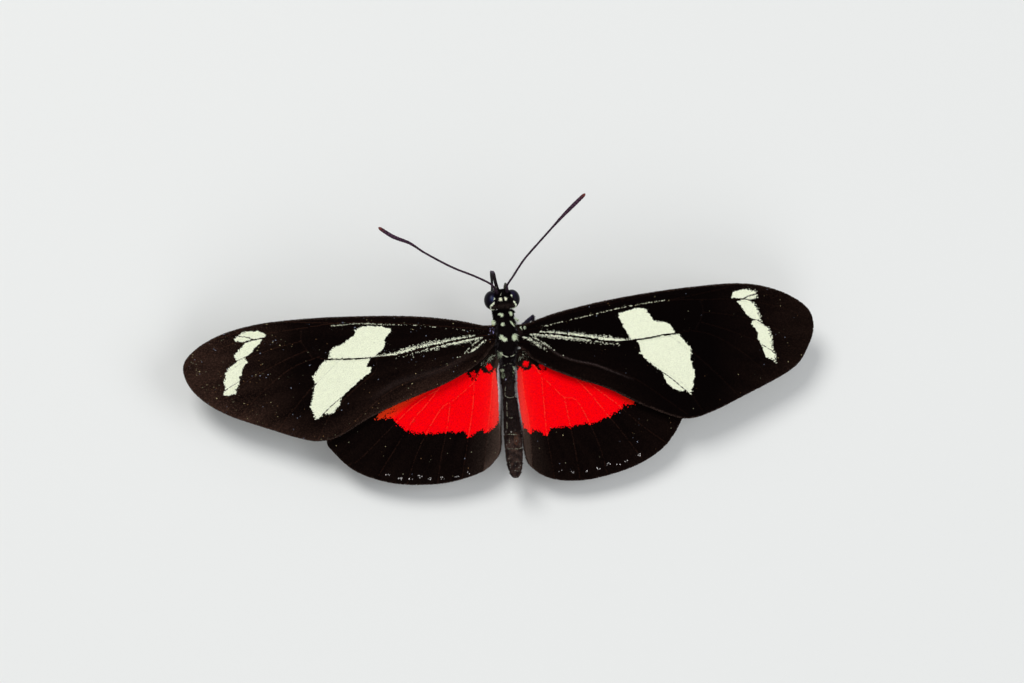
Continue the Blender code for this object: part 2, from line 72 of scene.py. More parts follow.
def pitched(points):
    """Body-frame millimetres to the frame's metres."""
    p = np.asarray(points, float)
    c = math.cos(BODY_PITCH)
    s = math.sin(BODY_PITCH)
    turned = np.stack([p[..., 0], c * p[..., 1] - s * p[..., 2], s * p[..., 1] + c * p[..., 2]], axis=-1)
    return turned * MM + ORIGIN


def upright(points):
    """Millimetres in the frame that the insect stands in to the frame's metres."""
    return np.asarray(points, float) * MM + GROUND


def hip_upright(point):
    """A body-frame point in the frame that the insect stands in."""
    return (pitched(point) - GROUND) / MM


def srgb(red, green, blue):
    c = np.array([red, green, blue], float) / 255.0
    return np.where(c <= 0.04045, c / 12.92, ((c + 0.055) / 1.055) ** 2.4)


def smooth_path(points, spacing):
    """Points of a Catmull-Rom curve through the given ones, about one each spacing."""
    knots = [np.asarray(p, float) for p in points]
    path = []
    for i in range(len(knots) - 1):
        p1 = knots[i]
        p2 = knots[i + 1]
        p0 = knots[i - 1] if i > 0 else p1 * 2 - p2
        p3 = knots[i + 2] if i + 2 < len(knots) else p2 * 2 - p1
        steps = max(1, round(float(np.linalg.norm(p2 - p1)) / spacing))
        for k in range(steps):
            t = k / steps
            start = p1 * 2 + (p2 - p0) * t
            bend = (p0 * 2 - p1 * 5 + p2 * 4 - p3) * t * t
            turn = (p1 * 3 - p0 - p2 * 3 + p3) * t * t * t
            path.append((start + bend + turn) * 0.5)
    path.append(knots[-1])
    return np.array(path)


def unit(vectors):
    return vectors / np.maximum(np.linalg.norm(vectors, axis=-1, keepdims=True), 1e-12)


def lengths_along(path):
    return np.concatenate([[0.0], np.cumsum(np.linalg.norm(np.diff(path, axis=0), axis=1))])


def to_path(points, path):
    """Distance of each point to a path, and how far along the path it is, from 0 to 1."""
    lengths = lengths_along(path)
    best = np.full(len(points), 1e9)
    share = np.zeros(len(points))
    for i in range(len(path) - 1):
        run = path[i + 1] - path[i]
        square = max(float(run @ run), 1e-12)
        t = clamped(((points - path[i]) @ run) / square)
        gap = np.linalg.norm(path[i] + t[:, None] * run - points, axis=1)
        nearer = gap < best
        best[nearer] = gap[nearer]
        share[nearer] = (lengths[i] + t[nearer] * math.sqrt(square)) / lengths[-1]
    return best, share


def outward_of(loop):
    """The outward direction at each point of a closed line that runs clockwise."""
    run = unit(np.roll(loop, -1, axis=0) - np.roll(loop, 1, axis=0))
    return np.stack([-run[:, 1], run[:, 0]], axis=1)


def laid(along, out):
    """Directions turned to lie along a surface with these normals."""
    return unit(along - out * np.sum(along * out, axis=1, keepdims=True))


def clamped(value):
    return np.clip(value, 0.0, 1.0)


def framed(share, edge):
    """Places in the unwrap for shares from 0 to 1, clear of its edges."""
    return edge + (1.0 - 2.0 * edge) * share


def inside(points, outline):
    within = np.zeros(len(points), bool)
    for one, two in zip(outline, np.roll(outline, -1, axis=0)):
        crosses = (one[1] > points[:, 1]) != (two[1] > points[:, 1])
        rise = two[1] - one[1]
        if rise == 0.0:
            continue
        at = one[0] + (points[:, 1] - one[1]) * (two[0] - one[0]) / rise
        within ^= crosses & (points[:, 0] < at)
    return within


def depth_in(points, outline):
    """How deep each point lies inside an outline, below 0 outside it."""
    rim = np.vstack([outline, outline[:1]])
    gap, _ = to_path(points, rim)
    return np.where(inside(points, outline), gap, -gap)


RIPPLE_WAVES = 7


def ripple(points, size, seed):
    """Smooth noise of about one unit, made of a few waves in drawn directions."""
    draw = np.random.default_rng(seed)
    total = np.zeros(len(points))
    for _ in range(RIPPLE_WAVES):
        heading = draw.normal(size=points.shape[1])
        heading *= draw.uniform(0.7, 1.6) * 2 * math.pi / size / np.linalg.norm(heading)
        total += np.sin(points @ heading + draw.uniform(0, 2 * math.pi))
    return total / math.sqrt(RIPPLE_WAVES / 2)


def mixed(one, two, share):
    """One colour, or one for each point, mixed with another by a share, or one for each point."""
    share = clamped(np.asarray(share, float))[..., None]
    return one * (1.0 - share) + two * share


# Meshes

def add_mesh(name, points, faces, colours, uv, smooth=True, uv_faces=None):
    """A mesh of triangles in world metres, with its colours and its unwrap."""
    mesh = bpy.data.meshes.new(name)
    faces = np.asarray(faces, np.int32)
    mesh.vertices.add(len(points))
    mesh.vertices.foreach_set("co", np.asarray(points, np.float32).ravel())
    mesh.loops.add(faces.size)
    mesh.loops.foreach_set("vertex_index", faces.ravel())
    mesh.polygons.add(len(faces))
    mesh.polygons.foreach_set("loop_start", np.arange(0, faces.size, 3, dtype=np.int32))
    mesh.polygons.foreach_set("use_smooth", np.full(len(faces), smooth))
    mesh.update(calc_edges=True)
    paint = mesh.color_attributes.new("Markings", "FLOAT_COLOR", "POINT")
    rgba = np.ones((len(points), 4), np.float32)
    rgba[:, :3] = colours
    paint.data.foreach_set("color", rgba.ravel())
    layer = mesh.uv_layers.new(name="OFBake")
    corners = faces if uv_faces is None else uv_faces
    layer.data.foreach_set("uv", np.asarray(uv, np.float32)[corners.ravel()].ravel())
    thing = bpy.data.objects.new(name, mesh)
    bpy.context.scene.collection.objects.link(thing)
    return thing


def settle(piece, finish, slot, *nodes):
    """Gives a piece its finish, sets it on the body, and names what it replaces; its slot argument is not
    used.
    """
    piece.data.materials.append(finish)
    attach(piece, "root")
    if nodes:
        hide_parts(*nodes)


def chosen(where, new, old):
    """The new colours at the chosen points, and the old ones elsewhere."""
    return np.where(where[:, None], new, old)


class Pile:
    """Points, triangles, colours and unwrap gathered for one piece."""

    def __init__(self):
        self.points = []
        self.faces = []
        self.colours = []
        self.uv = []
        self.count = 0

    def add(self, points, faces, colours, uv):
        self.points.append(points)
        self.faces.append(np.asarray(faces) + self.count)
        self.colours.append(np.broadcast_to(colours, (len(points), 3)))
        self.uv.append(np.broadcast_to(uv, (len(points), 2)))
        self.count += len(points)

    def finish(self, name, place, smooth=True):
        points = place(np.vstack(self.points))
        return add_mesh(name, points, np.vstack(self.faces), np.vstack(self.colours),
                        np.vstack(self.uv), smooth)


# How large one scale or hair is in the unwrap, and how clear of its edges wings and body stay
PATCH = 0.003
WING_EDGE = 0.02
BODY_EDGE = 0.01

# The corners and faces of what grows on wings and body, as shares of its length, width and rise
SHAPES = {
    # A wing scale: a thin shingle, widest at its tip
    "shingle": ([(0, -0.3, 0), (0, 0.3, 0), (1, -0.5, 1), (1, 0.5, 1), (0.45, 0, -0.2)],
                [(0, 1, 3), (0, 3, 2), (1, 0, 4), (0, 2, 4), (2, 3, 4), (3, 1, 4)]),
    # A broader scale of the body, with a blunt tip
    "scale": ([(0, -0.32, 0), (0, 0.32, 0), (0.6, -0.5, 0.62), (0.6, 0.5, 0.62), (1, -0.2, 1),
               (1, 0.2, 1), (0.4, 0, -0.25)],
              [(0, 1, 3), (0, 3, 2), (2, 3, 5), (2, 5, 4), (1, 0, 6), (0, 2, 6), (2, 4, 6), (4, 5, 6),
               (5, 3, 6), (3, 1, 6)]),
    # A hair: a thin spike on a three-cornered root
    "hair": ([(0, -0.5, 0), (0, 0.5, 0), (0, 0, -0.6), (1, 0, 1)],
             [(0, 1, 3), (1, 2, 3), (2, 0, 3), (0, 2, 1)]),
}


def place_many(kind, root, along, across, up, length, width, rise, colours, uv):
    """Sets a copy of a small shape at every root, as one joined set of arrays."""
    shape, faces = (np.array(part) for part in SHAPES[kind])
    count = len(root)
    length, width, rise = (np.broadcast_to(size, count) for size in (length, width, rise))
    a = shape[None, :, 0, None] * (length[:, None, None] * along[:, None, :])
    b = shape[None, :, 1, None] * (width[:, None, None] * across[:, None, :])
    c = shape[None, :, 2, None] * (rise[:, None, None] * up[:, None, :])
    points = (root[:, None, :] + a + b + c).reshape(-1, 3)
    step = (np.arange(count) * len(shape))[:, None, None]
    all_faces = (faces[None] + step).reshape(-1, 3)
    all_colours = np.repeat(colours, len(shape), axis=0)
    spread = np.stack([shape[:, 1], shape[:, 0] - 0.5], axis=1) * PATCH
    all_uv = (uv[:, None, :] + spread[None]).reshape(-1, 2)
    return points, all_faces, all_colours, all_uv


def quads(*corners):
    """Two triangles for each four corners."""
    a, b, c, d = (np.ravel(corner) for corner in corners)
    return np.vstack([np.stack([a, b, c], 1), np.stack([a, c, d], 1)])


def cap(hub, one, two):
    """Triangles from a hub to the pairs of points round it."""
    return np.stack([np.full(len(one), hub), one, two], 1)


def tube(path, radii, sides, squash=1.0):
    """A closed tube along a path: its points, triangles, and place along and round it."""
    path = np.asarray(path, float)
    radii = np.asarray(radii, float)
    heading = unit(np.gradient(path, axis=0))
    normal = np.zeros_like(path)
    first = np.cross(heading[0], [0.0, 0.0, 1.0])
    if np.linalg.norm(first) < 0.1:
        first = np.cross(heading[0], [1.0, 0.0, 0.0])
    normal[0] = unit(first)
    for i in range(1, len(path)):
        carried = normal[i - 1] - heading[i] * float(normal[i - 1] @ heading[i])
        normal[i] = unit(carried)
    other = np.cross(heading, normal)
    turn = 2 * math.pi * np.arange(sides) / sides
    ring = np.cos(turn)[None, :, None] * normal[:, None, :]
    ring = ring + squash * np.sin(turn)[None, :, None] * other[:, None, :]
    body = path[:, None, :] + radii[:, None, None] * ring
    count = len(path)
    points = np.vstack([body.reshape(-1, 3), path[:1], path[-1:]])
    lower = (np.arange(count - 1)[:, None] * sides + np.arange(sides)[None, :]).ravel()
    after = (np.arange(count - 1)[:, None] * sides + (np.arange(sides)[None, :] + 1) % sides).ravel()
    k = np.arange(sides)
    n = (k + 1) % sides
    last = (count - 1) * sides
    faces = np.vstack([quads(lower, after, after + sides, lower + sides), cap(count * sides, n, k),
                       cap(count * sides + 1, last + k, last + n)])
    share = np.linspace(0, 1, count)
    u = np.concatenate([np.repeat(share, sides), [0.0, 1.0]])
    v = np.concatenate([np.tile(k / sides, count), [0.5, 0.5]])
    return points, faces, np.stack([u, v], axis=1)


# Materials

# Finishes: roughness, specular level, fineness of the grain and strength of its bump; and for the
# eye its clear coat, how mottled it is, and the depth of the bump
FINISHES = {
    "wing scales": (0.62, 0.006, 12000.0, 0.15),
    "wing membrane": (0.6, 0.02, 8000.0, 0.3),
    "body coat": (0.6, 0.01, 9000.0, 0.2),
    "body skin": (0.6, 0.02, 6000.0, 0.4),
    "eye": (0.3, 0.07, 26000.0, 0.12, 0.015, 0.15, 0.008),
    "feeler": (0.5, 0.05, 9000.0, 0.3),
    "leg": (0.45, 0.1, 9000.0, 0.2),
}
COAT_ROUGHNESS = 0.08
NOISE_DETAIL = 3.0
GLOSS_SPREAD = 0.12


def material(name, roughness, specular, grain, bump, coat=0.0, mottle=0.35, depth=0.02):
    """Painted markings under a fine mottle, with a grainy bump and uneven gloss."""
    made = bpy.data.materials.new(name)
    made.use_nodes = True
    nodes = made.node_tree.nodes
    links = made.node_tree.links
    shader = nodes["Principled BSDF"]
    shader.inputs["Specular IOR Level"].default_value = specular
    shader.inputs["Coat Weight"].default_value = coat
    shader.inputs["Coat Roughness"].default_value = COAT_ROUGHNESS
    paint = nodes.new("ShaderNodeAttribute")
    paint.attribute_name = "Markings"
    place = nodes.new("ShaderNodeTexCoord")
    noise = nodes.new("ShaderNodeTexNoise")
    noise.inputs["Scale"].default_value = grain
    noise.inputs["Detail"].default_value = NOISE_DETAIL
    links.new(place.outputs["Object"], noise.inputs["Vector"])
    ranges = []
    for low, high in ((1.0 - mottle, 1.0 + mottle), (roughness - GLOSS_SPREAD, roughness + GLOSS_SPREAD)):
        mapped = nodes.new("ShaderNodeMapRange")
        mapped.inputs["To Min"].default_value = low
        mapped.inputs["To Max"].default_value = high
        links.new(noise.outputs["Fac"], mapped.inputs["Value"])
        ranges.append(mapped.outputs["Result"])
    mix = nodes.new("ShaderNodeVectorMath")
    mix.operation = "SCALE"
    links.new(paint.outputs["Color"], mix.inputs[0])
    links.new(ranges[0], mix.inputs["Scale"])
    links.new(mix.outputs["Vector"], shader.inputs["Base Color"])
    links.new(ranges[1], shader.inputs["Roughness"])
    relief = nodes.new("ShaderNodeBump")
    relief.inputs["Strength"].default_value = bump
    relief.inputs["Distance"].default_value = depth * MM
    links.new(noise.outputs["Fac"], relief.inputs["Height"])
    links.new(relief.outputs["Normal"], shader.inputs["Normal"])
    return made


# Wings

WING_ROOT_X = 1.2
WING_REACH = 31.0
WING_DROOP = math.radians(5.5)
WING_ARCH = 0.9
WING_TRAIL = 0.005
WING_TRAIL_FROM = 1.0
FOREWING_HEIGHT = 0.55
HINDWING_HEIGHT = -0.22
FRINGE = 0.14
# At the hindwing's inner margin the membrane runs on to here from its rim, with long hair past it
INNER_INSET = 0.03
INNER_MARGIN_X = 2.0
INNER_MARGIN_Y = -2.8
MEMBRANE_HALF = 0.035
VEIN_RISE = 0.07
VEIN_REACH = 0.1
TIP_CLEARANCE = 0.02
# How closely the curves of outlines, veins, streaks and pale dust are stepped
OUTLINE_STEP = 0.35
VEIN_STEP = 0.4
STREAK_STEP = 0.5
DUST_STEP = 0.2
FRINGE_STEP = 0.09

# How far each wing is swung back about its hinge, moved forward and moved outward
WING_HOLD = {
    "forewing_left": (math.radians(0.7), 0.24, 0.0),
    "forewing_right": (math.radians(-0.7), -0.24, 0.0),
    "hindwing_left": (math.radians(1.8), 0.4, 0.2),
    "hindwing_right": (math.radians(-1.8), -0.4, -0.2),
}
HINGES = {"forewing": (1.2, 0.6), "hindwing": (1.2, -2.0)}
HEIGHTS = {"forewing": FOREWING_HEIGHT, "hindwing": HINDWING_HEIGHT}
# The scales of a wing lie in arcs about this point
FAN_CENTRES = {"forewing": (-3.0, 0.4), "hindwing": (-1.0, 1.5)}

FOREWING_ROOT = [(4.7, -3.55), (3.3, -2.75), (2.3, -2.0), (1.5, -1.1), (0.4, -0.4)]
FOREWING_EDGES = {
    "left": [
        (0.4, 1.3), (2.2, 1.3), (5.0, 2.05), (9.0, 2.77), (14.0, 3.24), (20.0, 3.5),
        (25.5, 3.3), (29.5, 2.35), (32.2, 0.7), (32.85, -1.0), (31.8, -3.3), (29.0, -5.55),
        (24.0, -7.75), (21.3, -8.8), (19.6, -9.1), (17.7, -8.75), (14.6, -7.2), (11.4, -5.95),
        (7.2, -4.6),
    ],
    "right": [
        (0.4, 1.5), (2.2, 1.65), (5.0, 2.4), (9.0, 3.08), (14.0, 3.63), (20.0, 3.96),
        (25.5, 3.87), (29.5, 2.78), (32.3, 0.95), (33.0, -1.0), (32.3, -3.1), (30.2, -5.5),
        (24.2, -8.0), (21.4, -9.05), (19.2, -9.6), (17.2, -9.4), (13.4, -7.7), (10.0, -5.8),
        (6.8, -4.5),
    ],
}
HINDWING_FRONT = [(0.4, -0.9), (2.5, -0.7), (5.0, -1.1), (9.0, -2.4), (14.0, -4.6)]
HINDWING_EDGES = {
    "left": [
        (17.6, -6.9), (18.9, -8.8), (18.4, -10.1), (16.2, -12.4), (12.5, -14.0), (8.1, -14.55),
        (4.8, -14.2), (2.6, -13.4), (1.4, -11.8), (1.1, -9.0),
    ],
    "right": [
        (17.0, -6.9), (18.2, -8.8), (17.8, -10.2), (15.8, -12.5), (12.5, -14.1), (8.1, -14.9),
        (4.8, -14.7), (2.6, -13.8), (1.4, -12.2), (1.1, -9.0),
    ],
}
HINDWING_ROOT = [(0.9, -6.0), (0.8, -3.8), (0.4, -2.6)]
OUTLINES = {
    "forewing": {word: edge + FOREWING_ROOT for word, edge in FOREWING_EDGES.items()},
    "hindwing": {word: HINDWING_FRONT + edge + HINDWING_ROOT for word, edge in HINDWING_EDGES.items()},
}
CUBITUS = {
    "right": [(1.0, 0.35), (2.5, 0.6), (3.6, 0.5), (5.85, 0.1), (8.1, -0.4), (10.4, -0.95), (12.6, -1.1),
              (15.2, -0.95), (17.5, -0.75), (19.2, -0.6)],
    "left": [(1.0, 0.1), (2.3, 0.2), (3.35, 0.1), (4.8, -0.05), (7.95, -0.5), (10.3, -0.88), (12.1, -1.08),
             (15.25, -1.05), (18.3, -0.85), (19.4, -0.6)],
}
FOREWING_VEINS = [
    [(1.0, 1.0), (5.0, 2.0), (10.0, 2.75), (14.5, 3.3), (18.0, 3.75)],
    [(1.0, 0.7), (4.5, 1.2), (11.9, 2.3), (17.1, 2.7), (20.7, 2.5), (23.8, 2.3), (26.7, 1.75),
     (29.6, 0.95), (32.6, -0.4)],
    [(17.1, 2.7), (21.0, 3.15), (24.5, 3.6)],
    [(23.8, 2.3), (25.4, 2.2), (26.75, 2.6), (29.8, 2.1)],
    [(19.2, -0.5), (22.0, -1.4), (25.2, -3.6), (27.9, -6.3)],
    [(13.5, -1.1), (13.75, -2.5), (15.4, -3.7), (17.0, -5.0), (18.4, -6.2), (20.1, -9.1)],
    [(17.0, -0.75), (19.5, -2.9), (22.0, -5.4), (24.1, -7.8)],
    [(20.7, 2.5), (20.9, 1.2), (19.9, -0.6)],
    [(20.9, 1.2), (23.2, 0.8), (26.0, 0.05), (27.9, -0.85), (32.2, -2.8)],
    [(20.5, 0.2), (23.5, -0.9), (27.1, -2.6), (28.5, -3.6), (30.7, -4.7)],
    [(1.0, -0.2), (2.6, -0.5), (4.5, -1.6), (6.7, -2.7), (9.7, -3.6), (13.0, -5.0), (18.3, -9.1)],
]
HINDWING_VEINS = {
    "right": [
        [(0.9, -1.7), (1.55, -3.25), (1.65, -5.5), (1.9, -8.65), (1.88, -13.1)],
        [(1.6, -1.3), (2.85, -2.5), (3.65, -3.8), (4.7, -5.05), (5.75, -6.2), (6.95, -6.6), (7.95, -8.6),
         (9.05, -11.7), (9.6, -14.4)],
        [(3.65, -3.8), (3.6, -7.0), (3.65, -9.65), (4.05, -14.4)],
        [(5.75, -6.2), (6.1, -8.8), (6.5, -12.25), (6.7, -14.6)],
        [(1.6, -1.3), (5.2, -2.4), (7.45, -4.8), (8.7, -6.4), (10.0, -8.3), (11.8, -10.85), (13.4, -13.4)],
        [(7.45, -4.8), (8.4, -5.0), (9.65, -6.1), (11.25, -7.5), (13.5, -9.8), (16.2, -12.1)],
        [(1.0, -1.3), (5.0, -2.1), (10.0, -4.3), (14.5, -6.6), (18.7, -9.0)],
    ],
    "left": [
        [(0.8, -2.0), (1.35, -3.75), (1.9, -6.75), (2.65, -10.55), (3.25, -13.7)],
        [(1.5, -1.8), (2.8, -3.7), (3.45, -4.55), (4.65, -5.45), (6.1, -6.4), (6.8, -6.65), (8.2, -8.35),
         (10.0, -11.3), (11.2, -14.2)],
        [(3.45, -4.55), (3.8, -7.05), (4.55, -10.15), (5.6, -14.4)],
        [(6.1, -6.4), (6.6, -8.8), (7.5, -11.8), (8.1, -14.6)],
        [(1.5, -1.8), (5.0, -2.9), (7.2, -4.95), (8.75, -6.55), (10.25, -8.0), (14.0, -13.0)],
        [(7.2, -4.95), (8.7, -5.6), (10.85, -7.05), (15.6, -11.0), (17.0, -11.6)],
        [(1.0, -1.3), (5.0, -2.1), (10.0, -4.3), (14.5, -6.6), (18.7, -9.0)],
    ],
}

# Cream markings of the forewing, right and left, as the living one differs from side to side
CREAM_PATCHES = {
    "right": [
        [(11.85, 1.85), (12.7, 1.95), (13.55, 2.15), (14.0, 2.2), (14.7, 2.0), (15.0, 1.5), (15.55, 0.75),
         (16.85, 0.4), (17.2, 0.15), (17.6, -0.55), (17.5, -0.8), (15.2, -0.95), (12.9, -1.05),
         (12.75, -0.65), (12.2, 0.4), (12.2, 0.65), (11.8, 1.4)],
        [(13.5, -1.0), (15.8, -0.85), (17.9, -0.8), (18.4, -1.35), (19.2, -2.35), (19.3, -2.9),
         (19.1, -3.2), (19.2, -4.35), (19.4, -4.8), (19.4, -5.25), (19.0, -6.7), (18.8, -7.1),
         (18.3, -6.65), (17.95, -6.7), (17.2, -6.45), (16.4, -5.75), (16.1, -5.05), (16.0, -4.65),
         (14.75, -3.55), (14.1, -2.8), (13.75, -2.45), (13.75, -1.75)],
        [(24.05, 2.4), (24.2, 2.9), (24.55, 3.1), (25.65, 3.2), (26.75, 2.95), (26.75, 2.6), (26.9, 2.5),
         (26.75, 2.25), (26.5, 2.05), (26.05, 2.05), (25.4, 2.2)],
        [(24.55, 2.05), (25.6, 2.15), (26.05, 1.95), (26.45, 1.65), (26.6, 1.3), (26.85, 1.0),
         (26.9, 0.6), (27.15, -0.3), (26.75, -0.1), (26.3, 0.0), (25.9, 0.25), (25.55, 0.6), (25.05, 1.5)],
        [(26.25, 0.0), (26.65, -0.1), (27.65, -0.8), (27.85, -1.0), (28.15, -1.95), (28.1, -3.0),
         (28.4, -3.75), (28.4, -4.6), (28.2, -4.3), (27.75, -4.25), (27.3, -3.9), (27.05, -2.9),
         (26.6, -2.05), (26.65, -1.45), (26.5, -1.05), (26.0, -0.4)],
    ],
    "left": [
        [(15.35, 1.8), (15.05, 2.05), (14.5, 2.15), (13.85, 2.15), (12.65, 2.0), (11.65, 1.6),
         (11.9, 1.2), (12.25, 0.95), (12.5, 0.55), (12.45, 0.2), (12.75, -0.35), (13.4, -0.75),
         (13.5, -1.05), (15.25, -1.05), (18.0, -0.9), (18.25, -0.75), (18.05, -0.05), (17.75, 0.25),
         (16.35, 0.75), (15.9, 1.15), (15.4, 1.35)],
        [(18.5, -0.8), (16.0, -0.95), (14.0, -1.0), (14.25, -1.45), (14.5, -1.9), (14.05, -2.05),
         (14.2, -2.5), (15.25, -3.2), (17.05, -4.6), (17.3, -4.95), (17.5, -5.35), (17.45, -5.6),
         (17.9, -5.9), (18.1, -6.25), (18.4, -6.35), (19.2, -6.35), (19.95, -6.8), (20.15, -6.45),
         (20.45, -5.45), (19.9, -3.65), (19.75, -3.2), (19.95, -2.55), (19.05, -1.3)],
        [(24.3, 2.1), (24.5, 1.9), (25.0, 1.8), (25.7, 1.78), (26.05, 1.72), (26.5, 1.65), (26.95, 1.65),
         (27.5, 1.85), (27.3, 2.1), (27.15, 2.35), (26.65, 2.5), (26.25, 2.65), (25.05, 2.6), (24.65, 2.4)],
        [(24.8, 1.75), (25.45, 1.8), (25.95, 1.65), (26.45, 1.5), (26.75, 1.2), (27.0, 0.9),
         (27.65, 0.4), (27.5, -0.1), (27.3, -0.25), (26.6, 0.05), (26.2, 0.3), (25.85, 0.5), (25.65, 0.85),
         (24.9, 1.4)],
        [(26.65, 0.05), (26.35, -0.45), (26.6, -0.7), (26.9, -1.05), (27.05, -1.7), (27.3, -1.85),
         (27.35, -2.65), (27.8, -3.05), (27.65, -3.3), (27.8, -3.55), (28.35, -3.6), (29.0, -3.7),
         (28.8, -2.85), (28.85, -2.35), (28.55, -1.25), (28.2, -0.85), (27.25, -0.25)],
    ],
}
# Veins that part the cream: their lines stay dark there, as wide as this on each side
DARK_LINES = {
    "right": [
        ([(12.0, -1.1), (13.45, -1.05), (15.2, -0.93), (16.25, -0.8), (17.9, -0.74)], 0.07),
        ([(15.55, -4.25), (16.7, -5.15), (17.85, -6.2), (18.6, -6.95)], 0.04),
        ([(23.8, 2.3), (25.05, 2.2), (25.55, 2.17), (26.05, 2.0), (26.9, 1.7)], 0.06),
        ([(25.4, 2.2), (25.8, 2.42), (26.9, 2.6)], 0.05),
        ([(26.15, 0.03), (26.75, -0.15), (27.3, -0.5), (27.75, -0.85)], 0.04),
        ([(27.05, -2.7), (27.55, -3.0), (28.45, -3.75)], 0.04),
    ],
    "left": [
        ([(12.0, -1.1), (14.0, -1.06), (15.25, -1.04), (16.95, -0.95), (18.95, -0.8)], 0.06),
        ([(16.9, -4.55), (17.9, -5.25), (18.45, -5.65), (19.3, -6.4)], 0.04),
        ([(24.3, 1.85), (25.7, 1.75), (26.05, 1.66), (26.9, 1.4)], 0.07),
        ([(25.7, 1.85), (26.15, 2.05), (27.2, 2.3)], 0.05),
        ([(26.6, 0.05), (27.0, -0.07), (27.6, -0.3)], 0.03),
        ([(27.4, -2.35), (28.2, -2.75), (28.8, -3.1)], 0.03),
    ],
}
# Cream streaks: points, half widths along it, how closely its scales are set at both ends, and
# how grey the outer ones are
CREAM_STREAKS = {
    "right": [
        ([(3.4, 0.62), (5.15, 0.36), (6.8, 0.09), (8.55, -0.24), (10.3, -0.66), (11.3, -0.87), (12.8, -0.98)],
         (0.02, 0.07, 0.12, 0.17, 0.04), (1.0, 1.0), 0.12),
        ([(2.4, 0.42), (3.8, 0.2), (5.5, -0.1), (7.6, -0.56), (9.65, -0.98), (11.7, -1.36)],
         (0.06, 0.12, 0.11, 0.11, 0.08), (1.0, 0.2), 0.3),
        ([(2.6, 0.2), (3.3, -0.25), (4.55, -1.15), (5.8, -2.15)], (0.06, 0.07, 0.06), (0.75, 0.12), 0.45),
        ([(1.6, 0.28), (2.35, -0.05), (2.9, -0.45), (4.1, -1.35)], (0.14, 0.2, 0.1), (0.5, 0.16), 0.5),
        ([(3.8, 1.1), (5.9, 1.45), (9.1, 1.9), (11.8, 2.3), (14.65, 2.6), (16.8, 2.72)],
         (0.02, 0.025, 0.03, 0.03, 0.03), (0.65, 0.85), 1.0),
    ],
    "left": [
        ([(3.2, 0.27), (4.9, 0.14), (6.65, -0.02), (8.4, -0.25), (9.9, -0.5), (11.35, -0.85), (13.4, -0.97)],
         (0.02, 0.08, 0.15, 0.15, 0.03), (1.0, 0.95), 0.12),
        ([(2.4, 0.06), (4.2, -0.18), (5.8, -0.38), (7.55, -0.64), (9.6, -1.02), (11.5, -1.28)],
         (0.05, 0.12, 0.12, 0.12, 0.08), (1.0, 0.1), 0.35),
        ([(2.7, -0.15), (3.4, -0.55), (3.95, -1.0), (5.5, -1.95)], (0.05, 0.04, 0.04), (0.85, 0.03), 0.7),
        ([(2.1, -0.26), (2.85, -0.72), (3.5, -1.15), (5.6, -2.0)], (0.08, 0.12, 0.12), (0.75, 0.06), 0.5),
        ([(2.2, 0.7), (3.75, 0.85), (6.85, 1.4), (8.95, 1.8), (12.6, 2.22), (15.0, 2.5), (17.8, 2.5)],
         (0.005, 0.02, 0.045, 0.05, 0.04), (0.4, 0.9), 0.9),
    ],
}
RED_PATCHES = {
    "right": [
        (1.15, -3.0), (1.4, -2.65), (1.8, -2.95), (2.4, -3.0), (2.85, -2.6), (3.3, -3.05), (4.1, -3.1),
        (4.6, -2.4), (7.15, -3.4), (9.7, -4.5), (11.7, -5.8), (13.1, -7.05), (13.05, -7.7), (11.85, -7.65),
        (11.2, -8.2), (9.75, -8.75), (9.2, -9.0), (8.55, -9.15), (8.05, -9.0), (7.5, -9.15), (5.6, -9.15),
        (4.0, -9.2), (3.7, -9.55), (3.45, -9.85), (2.95, -9.4), (2.25, -9.1), (2.0, -9.4), (1.45, -8.85),
        (1.15, -8.55), (0.95, -7.2), (0.9, -5.95), (0.95, -4.45),
    ],
    "left": [
        (1.15, -3.45), (1.5, -3.75), (2.1, -3.75), (2.6, -3.4), (3.0, -3.95), (3.8, -3.95), (4.3, -3.4),
        (6.85, -3.5), (10.0, -4.2), (12.7, -5.7), (13.75, -7.25), (12.85, -7.25), (12.1, -7.3),
        (11.65, -7.65), (11.4, -8.2), (10.2, -8.95), (9.75, -9.15), (8.4, -9.15), (8.0, -9.4),
        (7.35, -9.25), (6.25, -9.25), (5.75, -9.5), (4.9, -9.4), (4.35, -10.0), (3.9, -9.8),
        (3.05, -9.4), (2.75, -9.75), (2.1, -9.5), (1.65, -9.25), (1.3, -8.75), (1.05, -8.2),
        (0.9, -7.15), (0.9, -6.15), (1.0, -4.9),
    ],
}
# Red blobs parted from the patch by a black ring at its front
RED_BLOBS = {
    "right": [((2.1, -2.4), 0.33), ((3.75, -2.85), 0.3)],
    "left": [((1.7, -3.22), 0.34), ((3.4, -3.78), 0.32)],
}
RING_WIDTH = 0.17
# Of the hindwing's veins, the one behind which it is brown, and the next
FOLD_VEIN = 0
NEXT_VEIN = 2
# Pale scales at the root of the hindwing, in front of the blobs
BASE_DUST = {
    "right": [[(1.6, -1.75), (1.75, -1.3)], [(2.0, -1.55), (2.3, -1.3)]],
    "left": [[(1.15, -2.0), (1.6, -2.35), (2.3, -2.8)]],
}
# The line along which the red turns orange, next to the forewing
ORANGE_LINE = [(7.2, -4.3), (10.0, -5.2), (12.0, -6.1), (13.8, -7.1)]
